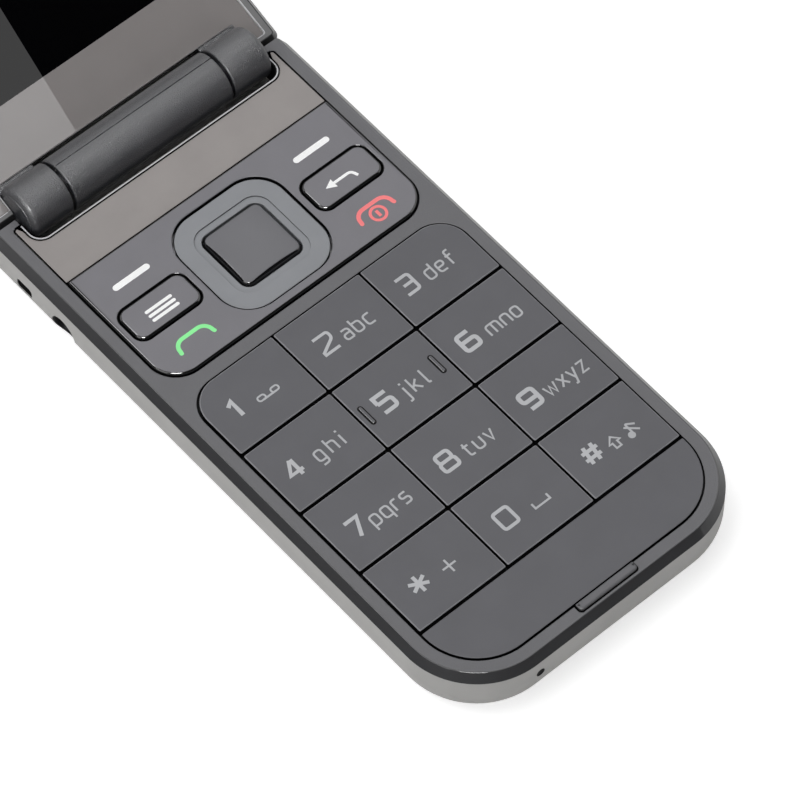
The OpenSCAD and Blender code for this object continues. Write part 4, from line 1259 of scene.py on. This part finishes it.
@dataclass
class FunctionKeys:
    """Function plate, menu and back keys, direction ring and select key; millimetres."""

    plate_corner: float = 4.7
    plate_rear_corner: float = 0.3
    plate_edge: float = 0.4
    plate_thickness: float = 1.25
    hole_edge: float = 0.18
    gap: float = 0.25
    stem: float = 0.9
    bar_in: float = 0.12
    bar_y: float = 32.43
    bar_half: float = 2.75
    bar_width: float = 1.0
    call_x: float = -16.5
    end_x: float = 16.7
    handset_end: Point = (2.98, 17.95)
    handset_arch: Triple = (1.35, 18.25, 1.55)
    handset_width: float = 0.65
    power_ring: Triple = (17.88, 1.18, 0.45)
    power_bar: Triple = (17.3, 18.45, 0.5)
    side_x: float = 16.75
    side_y: float = 25.91
    side_half: float = 5.8
    side_length: float = 6.0
    side_corner: float = 1.6
    side_edge: float = 0.5
    menu_x: Point = (-18.9, -14.6)
    menu_drop: float = 0.45
    menu_pitch: float = 0.85
    menu_width: float = 0.52
    back_drop: float = 0.1
    back_head: tuple[Point, ...] = ((13.7, 0.0), (15.25, -0.8), (15.25, 0.8))
    back_tail: tuple[Point, ...] = ((15.0, 0.0), (18.3, 0.0), (18.75, -1.2))
    back_bend: float = 1.1
    back_width: float = 0.45
    ring_y: float = 25.81
    ring_half: float = 9.35
    ring_corner: float = 5.2
    ring_edge: float = 0.15
    ring_thickness: float = 1.0
    well_edge: float = 0.12
    step: float = 0.25
    step_half: float = 6.625
    step_edge: float = 0.03
    step_run: Triple = (0.04, 0.05, 0.1)
    select_half: float = 5.3
    select_corner: float = 1.4
    select_edge: float = 0.64
    select_drop: float = 0.86
    select_share: float = 0.62
    select_reflection_bands: int = 14
    select_step: float = 0.4
    dome: float = 40.0

    def build(self) -> None:
        """Make and attach every piece."""
        self.plate()
        self.marks()
        self.side_key(Side.LEFT, "menu_key", self.menu_sign())
        self.side_key(Side.RIGHT, "back_key", self.back_sign())
        self.ring()
        self.select()

    def square(self, half: float, r: float) -> Path2:
        """Outline of a rounded square round the direction ring's middle."""
        return plate(half, self.ring_y - half, self.ring_y + half, r, r)

    def side_outline(self, side: Side, grow: float) -> Path2:
        """Outline of the menu or back key, grown all round."""
        x, y = side.value * self.side_x, self.side_y
        reach, r = self.side_length / 2 + grow, self.side_corner + grow
        return plate(self.side_half + grow, y - reach, y + reach, r, r, x)

    def plate(self) -> None:
        """Make the plate with its three openings."""
        low, high = (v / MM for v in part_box("function_plate"))
        base = high.z - self.plate_thickness
        edge = rounded(base, high.z, self.hole_edge)
        outer = plate(high.x, low.y, high.y, self.plate_corner, self.plate_rear_corner)
        middle = self.square(self.ring_half + self.gap, self.ring_corner + self.gap)
        # The plate's outer edge and the edges of its openings are painted shade.
        edges = [
            (Loop(outer, bands=SHADED_EDGE_BANDS), rounded(base, high.z, self.plate_edge)),
            (Loop(middle, hole=True, bands=SHADED_SIDE_BANDS), edge),
        ]
        for side in Side:
            edges.append((Loop(self.side_outline(side, self.gap), hole=True, bands=SHADED_EDGE_BANDS), edge))
        piece = Solid("function_panel").slab(edges)
        attach(piece.build(PLATE, GLOSSY_SHADE), "function_plate", "function_keys", "function_plate")

    def marks(self) -> None:
        """Make the soft key bars and the call and end signs."""
        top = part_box("function_plate")[1].z / MM
        x, y, half = self.side_x - self.bar_in, self.bar_y, self.bar_half
        bars = [
            piece
            for middle in (-x, x)
            for piece in stroke([(middle - half, y), (middle + half, y)], self.bar_width, round_ends=True)
        ]
        self.mark("soft_key_bars", "function_plate", bars, top, WHITE_MARK)
        self.mark("call_sign", "function_plate", self.handset(self.call_x), top, GREEN_MARK)
        x = self.end_x
        y, r, width = self.power_ring
        end = self.handset(x) + stroke(circle(x, y, r, FINE), width, closed=True)
        y0, y1, width = self.power_bar
        end += stroke([(x, y0), (x, y1)], width)
        self.mark("end_sign", "function_plate", end, top, RED_MARK)

    def handset(self, x: float) -> list[Path2]:
        """Outline of a lying handset round a middle."""
        (reach, low), (out, y, r) = self.handset_end, self.handset_arch
        arch = [(x - reach, low)] + arc(x - out, y, r, 180, 90) + arc(x + out, y, r, 90, 0)
        return stroke(arch + [(x + reach, low)], self.handset_width, round_ends=True)

    def menu_sign(self) -> list[Path2]:
        """Three bars of the menu key's sign."""
        left, right = self.menu_x
        levels = [self.side_y - self.menu_drop + i * self.menu_pitch for i in (-1, 0, 1)]
        return [p for y in levels for p in stroke([(left, y), (right, y)], self.menu_width, round_ends=True)]

    def back_sign(self) -> list[Path2]:
        """Head and bent tail of the back key's arrow."""
        middle = self.side_y - self.back_drop
        head, tail = ([(x, middle + y) for x, y in part] for part in (self.back_head, self.back_tail))
        return [head] + stroke(soften(tail, self.back_bend), self.back_width)

    def mark(self, name: str, body: str, pieces: list[Path2], top: float, finish: Finish) -> None:
        """Make one printed sign.

        Args:
            name: name of the piece.
            body: body that it rides on.
            pieces: outlines of its strokes.
            top: surface that carries it.
            finish: its colour.
        """
        sign = Solid(name).inlay(pieces, top - SINK, top + PRINT_RISE)
        attach(sign.build(finish), body, "function_keys")

    def side_key(self, side: Side, node: str, sign: list[Path2]) -> None:
        """Make the menu or the back key with its sign.

        Args:
            side: where it stands.
            node: its solid and body.
            sign: outlines of its sign's strokes.
        """
        low, high = (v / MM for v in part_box(node))
        edge = rounded(low.z + self.stem, high.z, self.side_edge)
        # The key's edge is painted shade.
        piece = Solid(node + "_cap").slab([(Loop(self.side_outline(side, 0.0), bands=SHADED_EDGE_BANDS), edge)])
        attach(piece.build(PLATE, GLOSSY_SHADE), node, "function_keys", node)
        self.mark(node + "_sign", node, sign, high.z, WHITE_MARK)

    def ring(self) -> None:
        """Make the direction ring with the shallow step round the select key; the step's riser and the ring's
        outer side are painted shade.
        """
        top = (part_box("nav_ring")[1] / MM).z
        base, step = top - self.ring_thickness, top - self.step
        inner = self.select_half + self.gap
        wide = self.step_half - inner
        before, after, level = self.step_run
        well = rounded(base, step, self.well_edge)
        well += [(wide - before, step), (wide, top - self.step_edge)]
        well += [(wide + after, top), (wide + level, top)]
        outer = self.square(self.ring_half, self.ring_corner)
        middle = self.square(inner, self.select_corner + self.gap)
        piece = Solid("direction_ring").slab([
            (Loop(outer, bands=SHADED_SIDE_BANDS), rounded(base, top, self.ring_edge)),
            (Loop(middle, hole=True, bands=STEP_SHADE_BANDS), well),
        ])
        attach(piece.build(RING, GLOSSY_SHADE, RING_STEP_SHADE), "nav_ring", "ring", "nav_ring")

    def select(self) -> None:
        """Make the domed key in the middle; the lower bands of its soft edge are a painted dark reflection,
        wider mid-side than at the corners.
        """
        low, high = (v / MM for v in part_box("select_key"))
        piece = Solid("select_cap").pillow(
            refine(self.square(self.select_half, self.select_corner), self.select_step),
            low.z + self.stem, high.z, self.dome,
            self.select_edge, self.select_drop, self.select_share, self.select_reflection_bands,
        )
        attach(piece.build(SELECT, SELECT_DARK_REFLECTION), "select_key", "select", "select_key")


@dataclass
class Hinge:
    """Barrel of the hinge: two shells on the keypad half, two knuckles on the display half; millimetres."""

    axis_y: float = 51.21
    axis_z: float = 10.8
    tilt: float = 19.5
    radius: float = 4.25
    shell: float = 0.95
    shell_steps: tuple[int, int] = (96, 48)
    middle: float = 14.5
    inner_end: float = 14.95
    outer_end: float = 22.0
    seam_angle: float = 82.0
    seam: float = 0.1
    seam_share: float = 0.2
    seam_lap: float = 0.4
    end_edge: float = 0.3
    knuckle_edge: float = 0.95
    knuckle_points: int = 160
    knuckle_steps: int = 8
    boss_r: float = 3.2
    boss: float = 0.12
    boss_points: int = 96
    boss_sink: float = 0.2
    boss_edges: Point = (0.1, 0.05)
    neck_w: float = 6.6
    neck_in: float = 0.05
    neck_edge: float = 0.2
    neck: Quad = (1.5, 5.1, -5.2, -0.55)

    @property
    def place(self) -> Matrix:
        """Puts the hinge axis's own frame in its place."""
        return Matrix.Translation((0, self.axis_y * MM, self.axis_z * MM))

    @property
    def lid_place(self) -> Matrix:
        """Puts the display half's own frame in its opened place."""
        return self.place @ Matrix.Rotation(math.radians(self.tilt), 4, "X")

    @staticmethod
    def along() -> Matrix:
        """Lays a piece that was built upwards along the hinge axis."""
        return Matrix(((0, 0, 1, 0), (1, 0, 0, 0), (0, 1, 0, 0), (0, 0, 0, 1)))

    def build(self) -> None:
        """Make and attach the shells and the knuckles."""
        self.half_shell("barrel_front", self.seam_angle, "barrel_front_shell")
        self.half_shell("barrel_rear", self.seam_angle - 180, "barrel_rear_shell")
        for side, node in ((Side.LEFT, "knuckle_left"), (Side.RIGHT, "knuckle_right")):
            self.knuckle(side, node)

    def half_shell(self, name: str, start: float, node: str) -> None:
        """Make one half of the barrel's middle.

        Args:
            name: name of the piece.
            start: angle of its first seam, in degrees from +Y.
            node: the solid that it stands for.
        """
        end = start + 180
        step = math.degrees(self.seam / self.radius)
        lap = step * self.seam_share
        low = self.radius - self.seam
        outer, inner = self.shell_steps
        outline = arc(0, 0, low, start + lap, start + lap, 1)[:1]
        outline += arc(0, 0, self.radius, start + step, end - step, outer)
        outline += arc(0, 0, low, end - lap, end - lap, 1)[:1]
        last = start + (180 - self.seam_lap)
        outline += arc(0, 0, self.radius - self.shell, last, start + self.seam_lap, inner)
        ends = rounded(-self.middle, self.middle, self.end_edge, self.end_edge)
        piece = Solid(name).slab([(Loop(outline), ends)])
        attach(piece.build(BARREL, at=self.place @ self.along()), Body.BASE.value, "barrel", node)

    def knuckle(self, side: Side, node: str) -> None:
        """Make one knuckle with its end boss and the neck that holds it to the display half.

        Args:
            side: where it stands.
            node: the solid that it stands for.
        """
        outline = circle(0, 0, self.radius, self.knuckle_points)
        disc = circle(0, 0, self.boss_r, self.boss_points)
        boss_end = self.outer_end + self.boss
        outside, inside = self.boss_edges
        outer_edge, inner_edge, steps = self.knuckle_edge, self.end_edge, self.knuckle_steps
        if side is Side.RIGHT:
            ends = rounded(self.inner_end, self.outer_end, outer_edge, inner_edge, steps)
            boss = rounded(self.outer_end - self.boss_sink, boss_end, outside)
        else:
            ends = rounded(-self.outer_end, -self.inner_end, inner_edge, outer_edge, steps)
            boss = rounded(-boss_end, self.boss_sink - self.outer_end, inside, outside)
        across = self.lid_place @ self.along()
        for name, loop, run in (("_barrel", outline, ends), ("_boss", disc, boss)):
            piece = Solid(node + name).slab([(Loop(loop), run)])
            replaced = (node,) if name == "_barrel" else ()
            attach(piece.build(BARREL, at=across), Body.LID.value, "barrel", *replaced)
        y0, y1, z0, z1 = self.neck
        half, r = self.neck_w / 2, self.neck_edge
        neck = plate(half, y0, y1, r, r, side.value * (self.outer_end - self.neck_in - half))
        block = Solid(node + "_neck").slab([(Loop(neck), rounded(z0, z1, r))])
        attach(block.build(BARREL, at=self.lid_place), Body.LID.value, "barrel")


@dataclass
class DisplayHalf:
    """Frame and window of the display half, in its own frame; millimetres."""

    hinge: Hinge
    half: float = 27.05
    near: float = -0.3
    far: float = 102.17
    corner: float = 12.5
    hinge_corner: float = 1.1
    inner_corner: float = 0.5
    face: float = -0.4
    frame_low: float = -1.8
    frame_edge: float = 0.08
    slope: float = 0.9
    flat: float = 0.16
    end_slope: float = 0.75
    slope_edge: float = 0.16
    recess_half: float = 22.15
    recess_end: float = 4.95
    recess_r: float = 1.6
    lip: float = 0.2
    lip_slope: float = 0.1
    window_half: float = 24.9
    window_near: float = 1.3
    window_far: float = 100.02
    window_r: float = 10.35
    window_corner: float = 0.35
    window_top: float = -0.8
    window_gap: float = 0.08
    window_edge: float = 0.06
    line_out: float = 0.07
    line_clear: Point = (1.2, 1.0)
    line_end: float = 0.6
    line_width: float = 0.12
    screen_half: float = 22.6
    screen_near: float = 14.4
    screen_far: float = 73.5
    screen_corner: float = 0.3
    ear_y: float = 95.17
    ear_half: float = 5.0
    ear_tall: float = 0.5
    ear_corner: float = 0.48

    def build(self) -> None:
        """Make and attach the frame, the painted highlight line, the printed border and the screen."""
        self.frame()
        self.window_highlight_line()
        self.window()

    def cut(self, grow: float) -> tuple[Point, float]:
        """Half width and end of the barrel's recess with its corner radius, grown all round."""
        return (self.recess_half + grow, self.recess_end + grow), self.recess_r + grow

    def window_outline(self, grow: float) -> Path2:
        """Outline of the window round the barrel, grown all round."""
        return notched(
            self.window_half + grow, self.window_far + grow, self.window_near - grow, self.window_r + grow,
            self.window_corner, *self.cut(self.lip - grow),
        )

    def frame(self) -> None:
        """Make the frame with its sloped edge; its wall round the window is a painted highlight."""
        run = self.slope
        outline = notched(self.half, self.far, self.near, self.corner, self.hinge_corner, *self.cut(0.0))
        inner = notched(
            self.half - run, self.far - run, self.near + self.end_slope, self.corner - run, self.inner_corner,
            *self.cut(self.lip_slope),
        )
        slope = sloped(self.frame_low, self.face, run, self.flat, self.slope_edge)
        edge = rounded(self.frame_low, self.face, self.frame_edge)[:-1]
        piece = Solid("display_frame").slab([
            (Loop(outline, inner=inner, reach=run, bands=SLOPED), slope),
            (Loop(self.window_outline(self.window_gap), hole=True, bands=HIGHLIGHT_WALL_BANDS), edge),
        ])
        made = piece.build(FRAME, FRAME_SLOPE, FRAME_HIGHLIGHT, at=self.hinge.lid_place)
        attach(made, Body.LID.value, "front_housing", "lid_frame")

    def beside_barrel(self, point: Point) -> bool:
        """Tell whether a point of the window's outline lies clear of the barrel."""
        out, up = self.line_clear
        return abs(point[0]) > self.recess_half + out or point[1] > self.recess_end + up

    def window_highlight_line(self) -> None:
        """Lay the painted highlight line round the window, open at the barrel."""
        points = self.window_outline(self.window_gap + self.line_out)
        first = max(i for i, p in enumerate(points) if not self.beside_barrel(p)) + 1
        line = [p for p in points[first:] + points[:first] if self.beside_barrel(p)]
        ends = [(math.copysign(self.recess_half + self.line_end, x), y) for x, y in (line[0], line[-1])]
        drawn = stroke(ends[:1] + line + ends[1:], self.line_width)
        bright = Solid("window_highlight_line").inlay(drawn, self.face - SINK, self.face + LINE_RISE)
        attach(bright.build(HIGHLIGHT_LINE, at=self.hinge.lid_place), Body.LID.value, "front_housing")

    def window(self) -> None:
        """Make the printed border and the dark screen that fills it."""
        r = self.screen_corner
        screen = plate(self.screen_half, self.screen_near, self.screen_far, r, r)
        r = self.ear_corner
        ear = plate(self.ear_half, self.ear_y - self.ear_tall, self.ear_y + self.ear_tall, r, r)
        flat = [(0.0, self.frame_low), (0.0, self.window_top)]
        border = Solid("window_border").slab([
            (Loop(self.window_outline(0.0)), rounded(self.frame_low, self.window_top, self.window_edge)),
            (Loop(screen, hole=True), flat),
            (Loop(ear, hole=True), flat),
        ])
        attach(border.build(BORDER, at=self.hinge.lid_place), Body.LID.value, "window", "lid_window")
        glass = Solid("screen").slab([(Loop(screen), flat)])
        attach(glass.build(SCREEN, at=self.hinge.lid_place), Body.LID.value, "display")


@dataclass
class PlainSolids:
    """Solids that stay as they are and only get a finish."""

    nodes: dict[str, bpy.types.Object]

    def build(self) -> None:
        """Dress the housings, the ports and everything inside."""
        dress(self.nodes, WALL, "base_rear_housing", "battery_cover", "lid_back")
        dress(self.nodes, RUBBER, "key_mat", "nav_pad", "function_pad")
        dress(self.nodes, BOARD, "main_board", "lid_board")
        dress(self.nodes, CELL, "battery")
        dress(self.nodes, BLACK, "headset_jack", "loudspeaker", "display")
        dress(
            self.nodes, STEEL, "dome_sheet", "battery_contacts", "charge_socket", "microphone",
            "vibration_motor", "card_holder", "base_screws", "hinge_can", "pivot_bush", "pivot_pin",
            "strap_pin", "earpiece", "lid_magnet", "hinge_shaft",
        )


@dataclass(frozen=True)
class Lamp:
    """A square lamp that points at the telephone; metres and watts."""

    name: str
    at: Triple
    size: float
    power: float
    glow: Glow = Glow.BOTH

    def hang(self) -> None:
        """Make the lamp and hang it in its place."""
        lamp = bpy.data.lights.new(self.name, "AREA")
        lamp.size = self.size
        lamp.energy = self.power
        made = bpy.data.objects.new(self.name, lamp)
        made.location = self.at
        made.rotation_euler = (-Vector(self.at)).to_track_quat("-Z", "Y").to_euler()
        made.visible_glossy = self.glow is not Glow.MATT
        made.visible_diffuse = self.glow is not Glow.GLOSSY
        bpy.context.scene.collection.objects.link(made)


@dataclass
class Studio:
    """Floor, light and camera; lengths in metres."""

    floor_size: float = 6.0
    floor_white: float = 0.8
    floor_lift: float = 0.6
    ambient: float = 0.2
    lamps: tuple[Lamp, ...] = (
        Lamp("top_light", (-0.35, 0.35, 1.0), 0.9, 7.2, Glow.MATT),
        Lamp("sheen_light", (0.42, 0.24, 1.0), 0.62, 1.5),
        Lamp("left_light", (-1.0, -0.1, 0.55), 0.7, 3.0),
        Lamp("front_light", (0.3, -1.1, 0.35), 0.5, 2.0, Glow.MATT),
        Lamp("corner_light", (-0.6, -0.62, 0.95), 0.5, 20.0, Glow.GLOSSY),
        Lamp("rear_light", (0.37, 0.68, 0.8), 0.4, 0.6, Glow.GLOSSY),
        Lamp("edge_light", (-0.47, 0.44, 0.88), 0.3, 1.8, Glow.GLOSSY),
    )
    flag_out: float = 1.2
    flag_foot: float = 0.02
    left_top: float = 1.5
    front_top: float = 2.6
    card: tuple[Point, ...] = ((0.24, -0.12), (0.42, -0.12), (0.42, 0.0), (0.2405, 0.0))
    card_height: float = 0.7
    aim: Triple = (-0.001378, -0.00755, 0.0104)
    azimuth: float = -41.024
    elevation: float = 57.515
    distance: float = 0.77562
    lens: float = 251.9
    sensor: float = 36.0
    clip: Point = (0.01, 100.0)

    def build(self) -> None:
        """Set up everything round the telephone."""
        self.floor()
        self.world()
        for lamp in self.lamps:
            lamp.hang()
        self.flags()
        self.camera()

    def floor(self) -> None:
        """Make the pale floor, which stays white to the camera but keeps the shadow."""
        half = self.floor_size / 2
        data = bpy.data.meshes.new("floor")
        corners = [(-half, -half, 0), (half, -half, 0), (half, half, 0), (-half, half, 0)]
        data.from_pydata(corners, [], [(0, 1, 2, 3)])
        made = bpy.data.objects.new("floor", data)
        bpy.context.scene.collection.objects.link(made)
        paper = bpy.data.materials.new("floor_paper")
        paper.use_nodes = True
        tree = paper.node_tree
        tree.nodes.remove(tree.nodes["Principled BSDF"])
        diffuse = tree.nodes.new("ShaderNodeBsdfDiffuse")
        diffuse.inputs["Color"].default_value = (self.floor_white,) * 3 + (1.0,)
        glow = tree.nodes.new("ShaderNodeEmission")
        rays = tree.nodes.new("ShaderNodeLightPath")
        lift = tree.nodes.new("ShaderNodeMath")
        lift.operation = "MULTIPLY"
        lift.inputs[1].default_value = self.floor_lift
        both = tree.nodes.new("ShaderNodeAddShader")
        tree.links.new(rays.outputs["Is Camera Ray"], lift.inputs[0])
        tree.links.new(lift.outputs[0], glow.inputs["Strength"])
        tree.links.new(diffuse.outputs[0], both.inputs[0])
        tree.links.new(glow.outputs[0], both.inputs[1])
        tree.links.new(both.outputs[0], tree.nodes["Material Output"].inputs["Surface"])
        data.materials.append(paper)

    def world(self) -> None:
        """Make the room: white to the eye and in reflections, softer as light."""
        room = bpy.data.worlds.new("room")
        bpy.context.scene.world = room
        room.use_nodes = True
        tree = room.node_tree
        back = tree.nodes["Background"]
        rays = tree.nodes.new("ShaderNodeLightPath")
        total = rays.outputs["Is Camera Ray"]
        for name in ("Is Glossy Ray", "Is Transmission Ray"):
            add = tree.nodes.new("ShaderNodeMath")
            add.operation = "MAXIMUM"
            tree.links.new(total, add.inputs[0])
            tree.links.new(rays.outputs[name], add.inputs[1])
            total = add.outputs[0]
        level = tree.nodes.new("ShaderNodeMapRange")
        level.inputs["To Min"].default_value = self.ambient
        level.inputs["To Max"].default_value = 1.0
        tree.links.new(total, level.inputs["Value"])
        back.inputs["Color"].default_value = (1, 1, 1, 1)
        tree.links.new(level.outputs["Result"], back.inputs["Strength"])

    def flags(self) -> None:
        """Stand black cards where glossy faces should mirror something dark."""
        out, foot, left, front = self.flag_out, self.flag_foot, self.left_top, self.front_top
        self.flag("left_flag", [(-out, -out, foot), (-out, out, foot), (-out, out, left), (-out, -out, left)])
        self.flag(
            "front_flag", [(-out, -out, foot), (out, -out, foot), (out, -out, front), (-out, -out, front)]
        )
        self.flag("window_flag", [(x, y, self.card_height) for x, y in self.card])

    @staticmethod
    def flag(name: str, corners: list[Triple]) -> None:
        """Stand one black card that only reflections see.

        Args:
            name: its name.
            corners: its corners in order.
        """
        data = bpy.data.meshes.new(name)
        data.from_pydata(corners, [], [tuple(range(len(corners)))])
        data.materials.append(BLACK.material())
        made = bpy.data.objects.new(name, data)
        made.visible_camera = False
        made.visible_diffuse = False
        made.visible_shadow = False
        bpy.context.scene.collection.objects.link(made)

    def camera(self) -> None:
        """Put the camera where the photograph was taken from."""
        a, e = math.radians(self.azimuth), math.radians(self.elevation)
        back = Vector((math.sin(a) * math.cos(e), -math.cos(a) * math.cos(e), math.sin(e)))
        data = bpy.data.cameras.new("camera")
        data.lens = self.lens
        data.sensor_width = self.sensor
        data.clip_start, data.clip_end = self.clip
        made = bpy.data.objects.new("camera", data)
        made.location = Vector(self.aim) + back * self.distance
        made.rotation_euler = (-back).to_track_quat("-Z", "Y").to_euler()
        bpy.context.scene.collection.objects.link(made)
        bpy.context.scene.camera = made


def main() -> None:
    """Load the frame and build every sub-assembly in order."""
    logging.basicConfig(level=logging.INFO, format="%(name)s: %(message)s")
    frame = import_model()
    bpy.context.scene.view_settings.view_transform = "Standard"
    hinge = Hinge()
    assemblies = (
        KeypadHalf(), NumberKeys(), FunctionKeys(), hinge, DisplayHalf(hinge),
        PlainSolids(frame["nodes"]), Studio(),
    )
    for assembly in assemblies:
        assembly.build()


if __name__ == "__main__":
    main()
